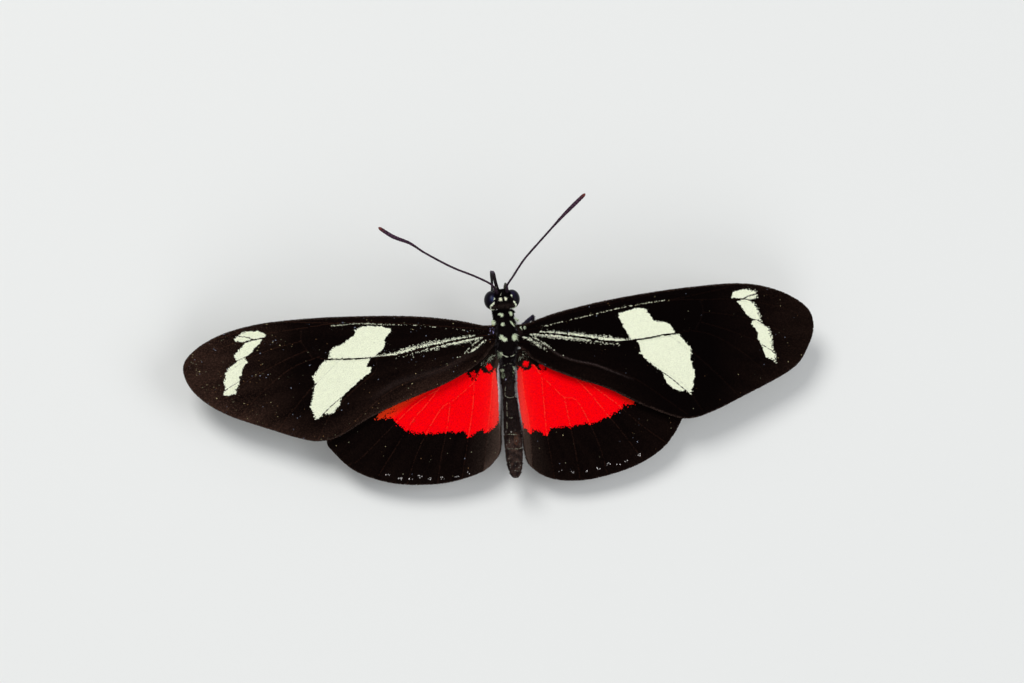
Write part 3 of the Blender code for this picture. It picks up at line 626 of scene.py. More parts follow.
# A crease behind the last vein of the forewing, with a paler line painted along it as a highlight, and its
# half width
CREASE_HIGHLIGHT_LINES = {
    "right": ([(2.4, 0.05), (3.9, -0.85), (5.25, -1.9), (6.8, -2.6), (8.85, -3.2), (10.5, -3.95),
               (12.85, -5.05)], 0.09),
    "left": ([(2.6, -0.85), (4.45, -1.8), (6.6, -2.75), (8.15, -3.1), (10.45, -3.55), (11.8, -3.9),
              (14.2, -5.15)], 0.3),
}
MARGIN_SPECKS = [(4.8, -13.7), (6.05, -13.9), (7.55, -13.95), (8.8, -13.85), (9.8, -13.5), (10.8, -13.75),
                 (11.8, -13.5), (13.05, -12.95)]

# What differs between the forewings: how worn they are all over, outward, to the rear and along the
# margin, how brown their veins are, how strong the highlight painted along their crease is, how many
# stray pale scales they have, and how toothed the outer edge of the outer cream row is
FOREWING_WEAR = {
    "left": {"all": 0.025, "outer": 0.24, "rear": 0.1, "marginal": 0.14, "veins": 0.2, "fold": 0.18,
             "dust": 0.002, "teeth": 0.03},
    "right": {"all": 0.0, "outer": 0.07, "rear": 0.03, "marginal": 0.0, "veins": 0.06, "fold": 0.5,
              "dust": 0.0004, "teeth": 0.09},
}
INNER_TEETH = 0.03
HINDWING_WORN = 0.03
HINDWING_DUST = 0.0006
UNDER_DUST = 0.0008
# Yellow streaks and red spots at the roots of the underside, as the cream streaks are given
UNDER_STREAKS = {
    "forewing": ([(1.4, 1.0), (4.0, 1.5), (7.5, 2.1)], (0.14, 0.1, 0.04), (0.9, 0.9), 0.0),
    "hindwing": ([(1.3, -1.1), (4.0, -1.2), (7.5, -2.0)], (0.16, 0.14, 0.05), (0.9, 0.9), 0.0),
}
UNDER_SPOTS = (((1.9, -2.1), 0.28), ((3.0, -2.2), 0.26), ((2.2, -3.5), 0.24))

BLACK = srgb(6, 3, 3)
WORN = srgb(84, 60, 50)
RIM = srgb(88, 70, 62)
INNER_BROWN = srgb(88, 72, 64)
CREAM = srgb(240, 244, 220)
CREAM_DULL = srgb(206, 212, 178)
RED = srgb(255, 2, 8)
RED_SHADE = srgb(240, 0, 20)
ORANGE = srgb(242, 72, 26)
ROSE = srgb(250, 66, 58)
VEIN_ORANGE = srgb(252, 120, 80)
VEIN_BROWN = srgb(70, 44, 34)
DUST = [srgb(196, 184, 140), srgb(120, 120, 96), srgb(150, 158, 178), srgb(120, 90, 60)]
STREAK_GREY = srgb(132, 130, 106)
FRINGE_GREY = srgb(222, 218, 222)
FRINGE_WHITE = srgb(196, 194, 188)
SPECK_GREY = srgb(226, 222, 220)
BASE_CREAM = srgb(216, 224, 198)
# Paler brown painted along the forewing's crease as a highlight
CREASE_HIGHLIGHT = srgb(88, 74, 72)
UNDER_BROWN = srgb(58, 42, 34)
UNDER_CREAM = srgb(232, 232, 206)
UNDER_ROSE = srgb(150, 72, 60)
UNDER_YELLOW = srgb(232, 200, 90)


def sheet_height(x, y):
    """Height of the spread wings' sheet: it arches outward and falls to the rear."""
    reach = np.abs(x) - WING_ROOT_X
    share = reach / WING_REACH
    trail = np.maximum(0.0, WING_TRAIL_FROM - y)
    return 4.0 * WING_ARCH * share * (1.0 - share) - math.tan(WING_DROOP) * reach - WING_TRAIL * trail * trail


class Wing:
    """One wing: its plan, its veins and the sheet that they lie in."""

    def __init__(self, pair, word):
        self.pair = pair
        self.word = word
        self.name = pair + "_" + word
        self.side = SIDES[word]
        self.outline = smooth_path(OUTLINES[pair][word], OUTLINE_STEP)[:-1]
        self.outward = outward_of(self.outline)
        self.inner = (self.outline[:, 0] < INNER_MARGIN_X) & (self.outline[:, 1] < INNER_MARGIN_Y)
        self.inset = self.outline - self.outward * np.where(self.inner, INNER_INSET, FRINGE)[:, None]
        self.rim = np.vstack([self.outline, self.outline[:1]])
        own = [CUBITUS[word]] + FOREWING_VEINS if pair == "forewing" else HINDWING_VEINS[word]
        self.veins = [smooth_path(v, VEIN_STEP) for v in own]
        self.fan = np.array(FAN_CENTRES[pair])
        self.corner = self.outline.min(axis=0)
        self.extent = float((self.outline.max(axis=0) - self.corner).max())

    def surface(self, plan):
        """The middle of the sheet, in the body frame, over points of the plan."""
        swing, forward, outward = WING_HOLD[self.name]
        pivot = np.array(HINGES[self.pair])
        c = math.cos(-swing)
        s = math.sin(-swing)
        p = plan - pivot
        x = c * p[:, 0] - s * p[:, 1] + pivot[0] + outward
        y = s * p[:, 0] + c * p[:, 1] + pivot[1] + forward
        z = HEIGHTS[self.pair] + sheet_height(x, y)
        return np.stack([self.side * x, y, z], axis=1)

    def axes(self, plan, heading):
        """Along, across and upward directions of what lies on the sheet with a heading."""
        step = 0.05
        here = self.surface(plan)
        out = (self.surface(plan + np.array([step, 0.0])) - here) / step
        fore = (self.surface(plan + np.array([0.0, step])) - here) / step
        up = unit(np.cross(out, fore)) * self.side
        along = unit(heading[:, :1] * out + heading[:, 1:] * fore)
        return here, along, np.cross(up, along), up

    def vein_gap(self, plan):
        gap = np.full(len(plan), 1e9)
        for vein in self.veins:
            near, _ = to_path(plan, vein)
            gap = np.minimum(gap, near)
        return gap

    def unwrap(self, plan):
        return framed((plan - self.corner) / self.extent, WING_EDGE)


def own_unwrap(plan):
    """The plan of what lies in one piece, spread over the whole unwrap."""
    low = plan.min(axis=0)
    return framed((plan - low) / float((plan.max(axis=0) - low).max()), WING_EDGE)


def vein_ridge(gap):
    return VEIN_RISE * np.exp(-(gap / VEIN_REACH) ** 2)


def fan_points(wing, row_step, side_step, draw):
    """Rows of scales in arcs about the fan's centre, each row shifted against the last."""
    reach = np.linalg.norm(wing.outline - wing.fan, axis=1)
    bearing = np.arctan2(*(wing.outline - wing.fan).T[::-1])
    spots = []
    parity = []
    for row, radius in enumerate(np.arange(reach.min() * 0.9, reach.max(), row_step)):
        step = side_step / radius
        turns = np.arange(bearing.min(), bearing.max(), step) + 0.5 * step * (row % 2)
        spot = wing.fan + radius * np.stack([np.cos(turns), np.sin(turns)], axis=1)
        spots.append(spot)
        parity.append(np.arange(len(spot)) % 2)
    spots = np.vstack(spots)
    parity = np.concatenate(parity)
    spots = spots + draw.normal(size=spots.shape) * np.array([row_step, side_step]) * ROW_JITTER
    return spots, parity


def inner_only(wing, spots):
    """Which points are on the wing, clear of the fringe that grows past its rim."""
    keep = inside(spots, wing.inset)
    gap, _ = to_path(spots[keep], np.vstack([wing.inset, wing.inset[:1]]))
    keep[keep] = gap > 0.01
    return keep


# How far a streak keeps clear of the middle of the vein that it runs beside
SPINE_CLEAR = 0.08


def streak_cover(spots, streak, draw, spine=None):
    """Which scales a cream streak covers, and how far out in it they lie, from 0 to 1.

    A streak with a spine is clear-cut along that vein and ragged on its far side.
    """
    points, widths, density, _ = streak
    gap, share = to_path(spots, smooth_path(points, STREAK_STEP))
    half = np.interp(share, np.linspace(0.0, 1.0, len(widths)), widths)
    far = clamped(gap / np.maximum(half, 0.03))
    ragged = half * (1.0 + 0.25 * ripple(spots, 0.8, 37)) + (0.02 + 0.3 * half) * draw.normal(size=len(spots))
    if spine is not None:
        beside, _ = to_path(spots, spine)
        far = clamped((beside - SPINE_CLEAR) / np.maximum(2.0 * half, 0.05))
        ragged = ragged + 0.08 * far * np.abs(draw.normal(size=len(spots)))
    ends = (share > 0.0) & (share < 1.0)
    close = density[0] + (density[1] - density[0]) * clamped(share * 2.2 - 0.7)
    close = close * (1.0 - 0.3 * far ** 3)
    return (gap < ragged) & ends & (draw.uniform(size=len(spots)) < close), far


def black_ground(wing, spots, rim_gap, draw, worn):
    """The black of the wings, browner in faint rays and to the margin, with stray paler scales."""
    offset = spots - wing.fan
    angle = np.arctan2(offset[:, 1], offset[:, 0])
    reach = np.linalg.norm(offset, axis=1)
    rays = 0.5 + 0.5 * ripple(np.stack([14.0 * angle, 0.1 * reach], axis=1), 1.0, 11)
    fine = draw.uniform(size=len(spots))
    outer = np.exp(-rim_gap / 1.6)
    share = worn * (0.25 + 0.35 * rays + fine ** 3) + (0.8 * worn + 0.02) * outer * fine
    colours = mixed(BLACK, WORN, clamped(share))
    rim_share = np.where(rim_gap < FRINGE + 0.1, 0.3 * fine, 0.0)
    return mixed(colours, RIM, rim_share)


def dusted(colours, spots, rate, draw):
    """Single pale scales strewn over the dark."""
    cluster = np.clip(0.6 + 0.9 * ripple(spots, 3.0, 23), 0.1, 2.5)
    pick = draw.uniform(size=len(spots))
    for index, dust in enumerate(DUST):
        band = (pick > index * 0.25) & (pick < index * 0.25 + rate * cluster)
        strength = draw.uniform(size=len(spots)) ** 2 * 0.9 + 0.1
        colours = chosen(band, mixed(colours, dust, strength), colours)
    return colours


def veined(colours, vein_gap, half, colour, share):
    """Colours with the veins tinted as far out as their half width."""
    return mixed(colours, colour, np.where(vein_gap < half, share, 0.0))


def upper_forewing(wing, spots, rim_gap, vein_gap, draw):
    count = len(spots)
    wear = FOREWING_WEAR[wing.word]
    outer = clamped((spots[:, 0] - 21.5) / 8.0)
    rear = clamped((-0.5 - spots[:, 1]) / 4.0) * clamped((16.0 - spots[:, 0]) / 8.0)
    marginal = np.exp(-rim_gap / 1.8) * clamped((-1.5 - spots[:, 1]) / 4.0)
    worn = wear["all"] + wear["outer"] * outer + wear["rear"] * rear + wear["marginal"] * marginal
    colours = black_ground(wing, spots, rim_gap, draw, worn)
    colours = veined(colours, vein_gap, 0.03, VEIN_BROWN, wear["veins"])
    # A paler line painted along the crease as a highlight
    crease, half = CREASE_HIGHLIGHT_LINES[wing.word]
    fold, along_fold = to_path(spots, smooth_path(crease, STREAK_STEP))
    share = np.exp(-(fold / half) ** 2) * np.sin(math.pi * np.clip(along_fold, 0.02, 0.98)) ** 0.5
    colours = mixed(colours, CREASE_HIGHLIGHT, wear["fold"] * share * draw.uniform(0.2, 1.0, size=count))
    colours = dusted(colours, spots, wear["dust"] * (1.0 + outer), draw)
    cream = mixed(CREAM, CREAM_DULL, 0.2 * draw.uniform(size=count))
    covered = np.zeros(count, bool)
    for index, patch in enumerate(CREAM_PATCHES[wing.word]):
        shape = np.array(patch)
        depth = depth_in(spots, shape)
        outward = clamped((spots[:, 0] - shape[:, 0].mean()) / 0.6)
        teeth = (wear["teeth"] if index > 1 else INNER_TEETH) * outward
        jag = (0.015 + teeth) * draw.normal(size=count) + 0.02 * ripple(spots, 0.45, 31)
        covered |= depth + jag > 0.0
    for points, half in DARK_LINES[wing.word]:
        gap, _ = to_path(spots, smooth_path(points, VEIN_STEP))
        covered &= gap > half
    colours = chosen(covered, cream, colours)
    cubitus = wing.veins[0]
    gap, _ = to_path(spots, cubitus)
    for index, streak in enumerate(CREAM_STREAKS[wing.word]):
        spine = cubitus if index < 2 else None
        streaked, far = streak_cover(spots, streak, draw, spine)
        streaked &= ~covered & (gap > 0.06)
        grey = streak[3] * (0.1 + far ** 2) * draw.uniform(size=count) + 0.35 * streak[3] ** 2
        fading = np.clip(2.0 * (far - 0.72), 0.0, 0.6) * draw.uniform(0.2, 1.0, size=count)
        tone = mixed(mixed(cream, STREAK_GREY, grey), BLACK, np.maximum(fading, grey - 0.75))
        colours = chosen(streaked, tone, colours)
    return colours


def upper_hindwing(wing, spots, rim_gap, vein_gap, draw):
    count = len(spots)
    colours = black_ground(wing, spots, rim_gap, draw, HINDWING_WORN)
    first = wing.veins[FOLD_VEIN]
    second = wing.veins[NEXT_VEIN]
    fold_x = np.interp(-spots[:, 1], -first[:, 1], first[:, 0])
    next_x = np.interp(-spots[:, 1], -second[:, 1], second[:, 0])
    behind = spots[:, 0] < fold_x
    grain = draw.uniform(size=count)
    marginal = np.clip(1.1 - rim_gap / 1.2, 0.2, 1.0)
    colours = mixed(colours, INNER_BROWN, np.where(behind, 0.5 * marginal + 0.2 * grain, 0.0))
    between = clamped((next_x - spots[:, 0]) / np.maximum(next_x - fold_x, 0.1))
    colours = mixed(colours, INNER_BROWN, np.where(behind, 0.0, (0.03 + 0.15 * grain) * between))
    colours = veined(colours, vein_gap, 0.025, VEIN_BROWN, 0.17)
    colours = dusted(colours, spots, HINDWING_DUST, draw)
    for place in MARGIN_SPECKS:
        near = np.linalg.norm((spots - np.array(place)) / (0.26, 0.15), axis=1)
        speck = (near < 1.0) & (draw.uniform(size=count) < 0.3)
        tone = mixed(colours, SPECK_GREY, draw.uniform(size=count) ** 0.7)
        colours = chosen(speck, tone, colours)
    depth = depth_in(spots, np.array(RED_PATCHES[wing.word]))
    along_vein = 0.14 * np.exp(-(vein_gap / 0.2) ** 2)
    jag = 0.06 * draw.normal(size=count) + 0.06 * ripple(spots, 0.4, 41) + along_vein
    rear = spots[:, 1] < -5.0
    covered = depth + np.where(rear, jag, 0.6 * jag) > 0.0
    shade = np.zeros(count)
    for place, radius in RED_BLOBS[wing.word]:
        offset = spots - np.array(place)
        near = np.linalg.norm(offset, axis=1) + 0.05 * ripple(spots, 0.3, 43)
        gap = near - radius
        covered |= gap < 0.03 * draw.normal(size=count)
        ring = (gap >= 0.0) & (gap < RING_WIDTH + 0.08 * draw.normal(size=count))
        covered &= ~ring | (draw.uniform(size=count) < 0.2)
        shade = np.where((near < radius) & (offset[:, 1] < -0.05), 0.5, shade)
    red = mixed(RED, RED_SHADE, draw.uniform(size=count) ** 2)
    edge, along_edge = to_path(spots, smooth_path(ORANGE_LINE, STREAK_STEP))
    reach = np.interp(along_edge, [0.0, 0.5, 1.0], [0.25, 0.8, 1.3])
    far = clamped(1.15 - edge / reach) * (0.9 if wing.word == "left" else 0.5)
    if wing.word == "right":
        far = far * clamped((spots[:, 0] - 11.0) / 1.5)
    red = mixed(red, ORANGE, far * draw.uniform(0.5, 1.0, size=count))
    beside_fold = 0.15 * np.exp(-np.abs(spots[:, 0] - fold_x) / 0.5)
    red = mixed(red, ROSE, np.where(behind, 0.9 * marginal, beside_fold))
    red = veined(red, vein_gap, 0.024, VEIN_ORANGE, 0.13)
    red = mixed(red, BLACK, shade * draw.uniform(size=count))
    covered &= draw.uniform(size=count) > 0.05 * far
    colours = chosen(covered, red, colours)
    for line in BASE_DUST[wing.word]:
        gap, _ = to_path(spots, smooth_path(line, DUST_STEP))
        pale = (gap < 0.2) & (draw.uniform(size=count) < 0.05)
        colours = chosen(pale, mixed(colours, BASE_CREAM, draw.uniform(size=count) ** 0.5), colours)
    return colours


def under_streak(wing, spots, colours, draw):
    """The yellow streak at the root of a wing's underside."""
    streak, _ = streak_cover(spots, UNDER_STREAKS[wing.pair], draw)
    return chosen(streak, UNDER_YELLOW, colours)


def under_forewing(wing, spots, rim_gap, vein_gap, draw):
    colours = mixed(UNDER_BROWN, BLACK, 0.2 + 0.5 * draw.uniform(size=len(spots)))
    colours = veined(colours, vein_gap, 0.06, RIM, 0.4)
    colours = dusted(colours, spots, UNDER_DUST, draw)
    covered = np.zeros(len(spots), bool)
    for patch in CREAM_PATCHES[wing.word]:
        shape = smooth_path(patch + patch[:1], OUTLINE_STEP)[:-1]
        covered |= depth_in(spots, shape) + 0.06 * draw.normal(size=len(spots)) > -0.05
    colours = chosen(covered, UNDER_CREAM, colours)
    return under_streak(wing, spots, colours, draw)


def under_hindwing(wing, spots, rim_gap, vein_gap, draw):
    colours = mixed(UNDER_BROWN, BLACK, 0.1 + 0.5 * draw.uniform(size=len(spots)))
    patch = RED_PATCHES[wing.word]
    depth = depth_in(spots, smooth_path(patch + patch[:1], VEIN_STEP)[:-1])
    deep = depth + 0.15 * draw.normal(size=len(spots)) > 0.3
    colours = mixed(colours, UNDER_ROSE, np.where(deep, 0.55, 0.0))
    colours = veined(colours, vein_gap, 0.06, RIM, 0.5)
    for place, radius in UNDER_SPOTS:
        near = np.linalg.norm(spots - np.array(place), axis=1)
        colours = chosen(near < radius, RED, colours)
    return under_streak(wing, spots, colours, draw)


PAINTERS = {
    ("forewing", 1): upper_forewing,
    ("hindwing", 1): upper_hindwing,
    ("forewing", -1): under_forewing,
    ("hindwing", -1): under_hindwing,
}
# Row step, step along a row, length and width of the scales, above and below
SCALE_SIZES = {
    ("forewing", 1): (0.079, 0.073, 0.156, 0.098),
    ("hindwing", 1): (0.083, 0.079, 0.166, 0.104),
    ("forewing", -1): (0.16, 0.155, 0.3, 0.2),
    ("hindwing", -1): (0.16, 0.155, 0.3, 0.2),
}
# How far scales stray from their rows, as a share of the steps
ROW_JITTER = 0.14
# The upper side of a forewing has its scales in two pieces, parted at this reach
FOREWING_PARTING = 16.5
# A scale has the colour of the wing at this share of its length, where most of it shows
SEEN_AT = 0.6
# Every second scale of a row lies this much higher, over its neighbours
OVERLAP = 0.008
SHORTEST = 0.04
FRINGE_ROOT = 0.05
MEMBRANE_STEP = 0.55
MEMBRANE_SHADE = 0.35
# Lines beside each vein that shape its ridge, in its reach
RIDGE_LINES = (-2.0, -0.8, 0.0, 0.8, 2.0)


def add_scales(wing, face, finish):
    """The scales of one face of a wing, lying outward in rows."""
    draw = np.random.default_rng([7, face + 2, len(wing.name), ord(wing.name[-1])])
    row_step, side_step, full_length, full_width = SCALE_SIZES[wing.pair, face]
    spots, parity = fan_points(wing, row_step, side_step, draw)
    keep = inner_only(wing, spots)
    spots = spots[keep]
    parity = parity[keep]
    rim_gap, _ = to_path(spots, wing.rim)
    seen = spots + unit(spots - wing.fan) * full_length * SEEN_AT
    vein_gap = wing.vein_gap(spots)
    colours = PAINTERS[wing.pair, face](wing, seen, rim_gap, wing.vein_gap(seen), draw)

    heading = unit(spots - wing.fan)
    yaw = 0.12 * draw.normal(size=len(spots))
    heading = np.stack([heading[:, 0] * np.cos(yaw) - heading[:, 1] * np.sin(yaw),
                        heading[:, 0] * np.sin(yaw) + heading[:, 1] * np.cos(yaw)], axis=1)
    here, along, across, up = wing.axes(spots, heading)
    up = up * face
    across = np.cross(up, along)
    lift = MEMBRANE_HALF + vein_ridge(vein_gap) + OVERLAP * parity
    root = here + up * lift[:, None]
    count = len(spots)
    length = full_length * draw.uniform(0.88, 1.12, size=count)
    length = np.clip(length, SHORTEST, np.maximum(rim_gap - TIP_CLEARANCE, SHORTEST))
    width = full_width * draw.uniform(0.9, 1.1, size=count)
    rise = 0.17 * full_length * draw.uniform(0.8, 1.35, size=count)
    roll = 0.1 * draw.normal(size=count)
    tilted = unit(across + up * roll[:, None])
    face_word = "upper" if face > 0 else "under"
    parts = {"": np.ones(count, bool)}
    if (wing.pair, face) == ("forewing", 1):
        parts = {"inner_": spots[:, 0] < FOREWING_PARTING, "outer_": spots[:, 0] >= FOREWING_PARTING}
    for part_word, own in parts.items():
        points, faces, paint, uv = place_many(
            "shingle", root[own], along[own], tilted[own], up[own], length[own],
            width[own], rise[own], colours[own], own_unwrap(spots[own]))
        name = "%s_%s%s_scales" % (wing.name, part_word, face_word)
        settle(add_mesh(name, pitched(points), faces, paint, uv, False), finish, "wing_scales")


def add_fringe(wing):
    """The fringe: a row of narrow scales that grow out past the rim of the membrane."""
    draw = np.random.default_rng([9, len(wing.name), ord(wing.name[-1])])
    rim = smooth_path(wing.rim, FRINGE_STEP)[:-1]
    outward = outward_of(rim)
    free = (rim[:, 0] > 1.3) | (rim[:, 1] < INNER_MARGIN_Y)
    rim = rim[free]
    outward = outward[free]
    spots = rim - outward * (FRINGE + FRINGE_ROOT)
    heading = unit(outward + 0.5 * unit(spots - wing.fan) + 0.12 * draw.normal(size=rim.shape))
    here, along, across, up = wing.axes(spots, heading)
    count = len(spots)
    share = draw.uniform(size=count)
    colours = mixed(BLACK, RIM, 0.22 + 0.5 * share ** 1.5)
    if wing.pair == "hindwing":
        checks = (rim[:, 1] < -11.0) & (ripple(rim, 0.9, 51) + 0.4 * draw.normal(size=count) > 0.5)
        colours = chosen(checks, FRINGE_WHITE, colours)
    root = here + up * (0.012 * draw.normal(size=count))[:, None]
    length = 0.16 * draw.uniform(0.9, 1.15, size=count)
    width = 0.1 * draw.uniform(0.8, 1.2, size=count)
    rise = 0.02 * draw.normal(size=count)
    return place_many("scale", root, along, across, up, length, width, rise, colours, wing.unwrap(spots))


# Hair along the hindwing's inner margin, which lies against the abdomen: its length on each side
INNER_HAIR = {"left": 0.56, "right": 0.58}
INNER_HAIR_COUNT = 5200


def inner_hair(wing):
    """Pale hair from the hindwing's inner margin over to the abdomen, browner to the rear."""
    draw = np.random.default_rng([13, ord(wing.word[0])])
    margin = wing.outline[wing.inner]
    lengths = lengths_along(margin)
    at = draw.uniform(0.0, lengths[-1], size=INNER_HAIR_COUNT)
    rim, outward = (np.stack([np.interp(at, lengths, column) for column in line.T], axis=1)
                    for line in (margin, wing.outward[wing.inner]))
    outward = unit(outward)
    spots = rim - outward * draw.uniform(0.08, 0.2, size=INNER_HAIR_COUNT)[:, None]
    heading = unit(0.8 * outward + np.array([0.0, -0.55]) + 0.2 * draw.normal(size=rim.shape))
    here, along, across, up = wing.axes(spots, heading)
    to_rear = clamped((-rim[:, 1] - 6.0) / 4.0)
    share = draw.uniform(size=INNER_HAIR_COUNT)
    colours = mixed(FRINGE_GREY, RIM, clamped(to_rear + 0.5 * share ** 2))
    ends = np.sqrt(clamped(np.minimum(at, lengths[-1] - at) / 1.2))
    length = ends * INNER_HAIR[wing.word] * (1.0 - 0.45 * to_rear)
    length = length * draw.uniform(0.6, 1.1, size=INNER_HAIR_COUNT)
    rise = draw.uniform(-0.04, 0.2, size=INNER_HAIR_COUNT)
    root = here + up * (MEMBRANE_HALF * draw.uniform(0.0, 1.2, size=INNER_HAIR_COUNT))[:, None]
    return place_many("hair", root, along, across, up, length, 0.04, rise, colours, wing.unwrap(spots))


BASE_HAIR_SPACING = 0.025


def base_hair(wing):
    """Stray pale hairs over the root of the hindwing."""
    draw = np.random.default_rng([41, ord(wing.word[0])])
    rows = []
    for line in BASE_DUST[wing.word]:
        path = smooth_path(line, BASE_HAIR_SPACING)
        rows.append(path + 0.13 * draw.normal(size=path.shape))
    spots = np.vstack(rows)
    spots = spots[inner_only(wing, spots)]
    count = len(spots)
    heading = unit(unit(spots - wing.fan) + 0.6 * draw.normal(size=spots.shape))
    here, along, across, up = wing.axes(spots, heading)
    colours = mixed(BASE_CREAM, STREAK_GREY, 0.4 * draw.uniform(size=count))
    length = draw.uniform(0.15, 0.4, size=count)
    return place_many("hair", here + up * 0.07, along, across, up, length, 0.028, 0.06, colours,
                      wing.unwrap(spots))


def add_membrane(wing, finish):
    """The wing's thin skin with its raised veins, and the fringe round it."""
    edge = wing.inset
    points = [Vector(p) for p in edge]
    lines = []
    for vein in wing.veins:
        run = unit(np.gradient(vein, axis=0))
        across = np.stack([-run[:, 1], run[:, 0]], axis=1)
        for offset in RIDGE_LINES:
            line = vein + across * (offset * VEIN_REACH)
            lines.append(line[inner_only(wing, line)])
    spans = [np.arange(column.min(), column.max(), MEMBRANE_STEP) for column in wing.outline.T]
    grid = np.stack(np.meshgrid(*spans), -1).reshape(-1, 2)
    lines.append(grid[inner_only(wing, grid)])
    for line in lines:
        points += [Vector(p) for p in line]
    loop = list(reversed(range(len(edge))))
    verts, _, faces, *_ = delaunay_2d_cdt(points, [], [loop], 1, 0.03)
    plan = np.array([tuple(v) for v in verts])
    faces = np.array([f[:3] for f in faces])
    gap = wing.vein_gap(plan)
    rim_gap, _ = to_path(plan, wing.rim)
    ridge = vein_ridge(gap) * np.clip(rim_gap / 0.8, 0.2, 1.0)
    heading = np.tile([1.0, 0.0], (len(plan), 1))
    here, _, _, up = wing.axes(plan, heading)
    half = (MEMBRANE_HALF + ridge)[:, None] * up
    top = here + half
    bottom = here - half
    draw = np.random.default_rng(5)
    colours = PAINTERS[wing.pair, 1](wing, plan, rim_gap, gap, draw)
    colours = mixed(colours, BLACK, MEMBRANE_SHADE)
    count = len(plan)
    upper = faces if wing.side > 0 else faces[:, ::-1]
    sides = {}
    for a, b in np.vstack([upper[:, [0, 1]], upper[:, [1, 2]], upper[:, [2, 0]]]).tolist():
        if (b, a) in sides:
            del sides[b, a]
        else:
            sides[a, b] = True
    skirt = []
    for a, b in sides:
        skirt.append((b, a, a + count))
        skirt.append((b, a + count, b + count))
    pile = Pile()
    pile.add(np.vstack([top, bottom]), np.vstack([upper, upper[:, ::-1] + count, np.array(skirt)]),
             np.vstack([colours, colours]), np.vstack([wing.unwrap(plan)] * 2))
    pile.add(*add_fringe(wing))
    if wing.pair == "hindwing":
        pile.add(*inner_hair(wing))
        pile.add(*base_hair(wing))
    piece = pile.finish(wing.name + "_membrane", pitched)
    settle(piece, finish, "wing_scales", wing.name)


def add_wing(pair, word, finishes):
    wing = Wing(pair, word)
    add_membrane(wing, finishes["wing membrane"])
    for face in (1, -1):
        add_scales(wing, face, finishes["wing scales"])


# Body

# The skin's sections from the brow to the tail: place, half width, top, bottom and roundness
SKIN_SECTIONS = [
    (4.82, 0.02, 0.02, -0.02, 0.9), (4.8, 0.2, 0.2, -0.24, 0.85), (4.7, 0.44, 0.48, -0.52, 0.8),
    (4.5, 0.62, 0.72, -0.74, 0.78), (4.2, 0.76, 0.88, -0.86, 0.76), (3.9, 0.82, 0.95, -0.88, 0.75),
    (3.6, 0.8, 0.92, -0.84, 0.76), (3.3, 0.7, 0.76, -0.7, 0.8), (3.08, 0.55, 0.56, -0.54, 0.9),
    (2.92, 0.48, 0.48, -0.5, 1.0), (2.78, 0.6, 0.58, -0.62, 1.0), (2.55, 0.84, 0.78, -0.8, 1.0),
    (2.3, 0.94, 0.88, -0.95, 1.0), (2.08, 0.92, 0.85, -1.02, 1.0), (1.95, 0.94, 0.88, -1.05, 1.0),
    (1.6, 1.02, 1.02, -1.2, 0.98), (0.9, 1.13, 1.28, -1.36, 0.95), (0.0, 1.16, 1.35, -1.42, 0.94),
    (-0.8, 1.08, 1.24, -1.38, 0.95), (-1.2, 0.98, 1.1, -1.32, 0.97), (-1.34, 0.92, 1.0, -1.28, 1.0),
    (-1.5, 0.92, 1.02, -1.24, 1.0), (-1.85, 0.8, 0.88, -1.1, 1.0), (-2.1, 0.72, 0.72, -0.98, 1.0),
    (-2.4, 0.68, 0.62, -0.84, 1.0), (-2.62, 0.66, 0.6, -0.72, 1.0), (-2.85, 0.72, 0.66, -0.74, 1.0),
    (-3.3, 0.78, 0.74, -0.8, 1.0), (-3.9, 0.78, 0.76, -0.82, 1.0), (-5.4, 0.67, 0.74, -0.78, 1.0),
    (-7.6, 0.73, 0.76, -0.8, 1.0), (-10.2, 0.86, 0.82, -0.86, 1.0), (-11.9, 0.83, 0.78, -0.82, 1.0),
    (-13.0, 0.72, 0.66, -0.7, 1.0), (-13.7, 0.54, 0.49, -0.53, 1.0), (-14.1, 0.3, 0.28, -0.32, 1.0),
    (-14.2, 0.02, 0.02, -0.04, 1.0),
]
ABDOMEN_JOINTS = (-4.3, -6.0, -8.0, -9.7, -11.2, -12.6, -13.5)
BODY_FRONT = 4.82
BODY_BACK = -14.2
SKIN_SIDES = 56
# Rows of the skin's points: from, to and how many
SKIN_ROWS = ((BODY_FRONT, 4.6, 12), (4.57, 2.6, 44), (2.55, -3.0, 90), (-3.06, -13.4, 150),
             (-13.44, BODY_BACK, 16))
GROOVE_DEPTH = 0.06
GROOVE_WIDTH = 0.09

BODY_BLACK = srgb(9, 7, 9)
BODY_BROWN = srgb(66, 48, 42)
REAR_BROWN = srgb(74, 57, 51)
SPOT_DIM = srgb(128, 146, 116)
# Violet painted as glints on the shoulders and the abdomen
VIOLET_GLINT = srgb(146, 142, 190)
UNDERSIDE = srgb(120, 112, 84)
SPOT_GREEN = srgb(220, 232, 202)
SPOT_CREAM = srgb(250, 250, 226)
HAIR_GREY = srgb(64, 60, 62)
NAPE_BROWN = srgb(74, 60, 55)

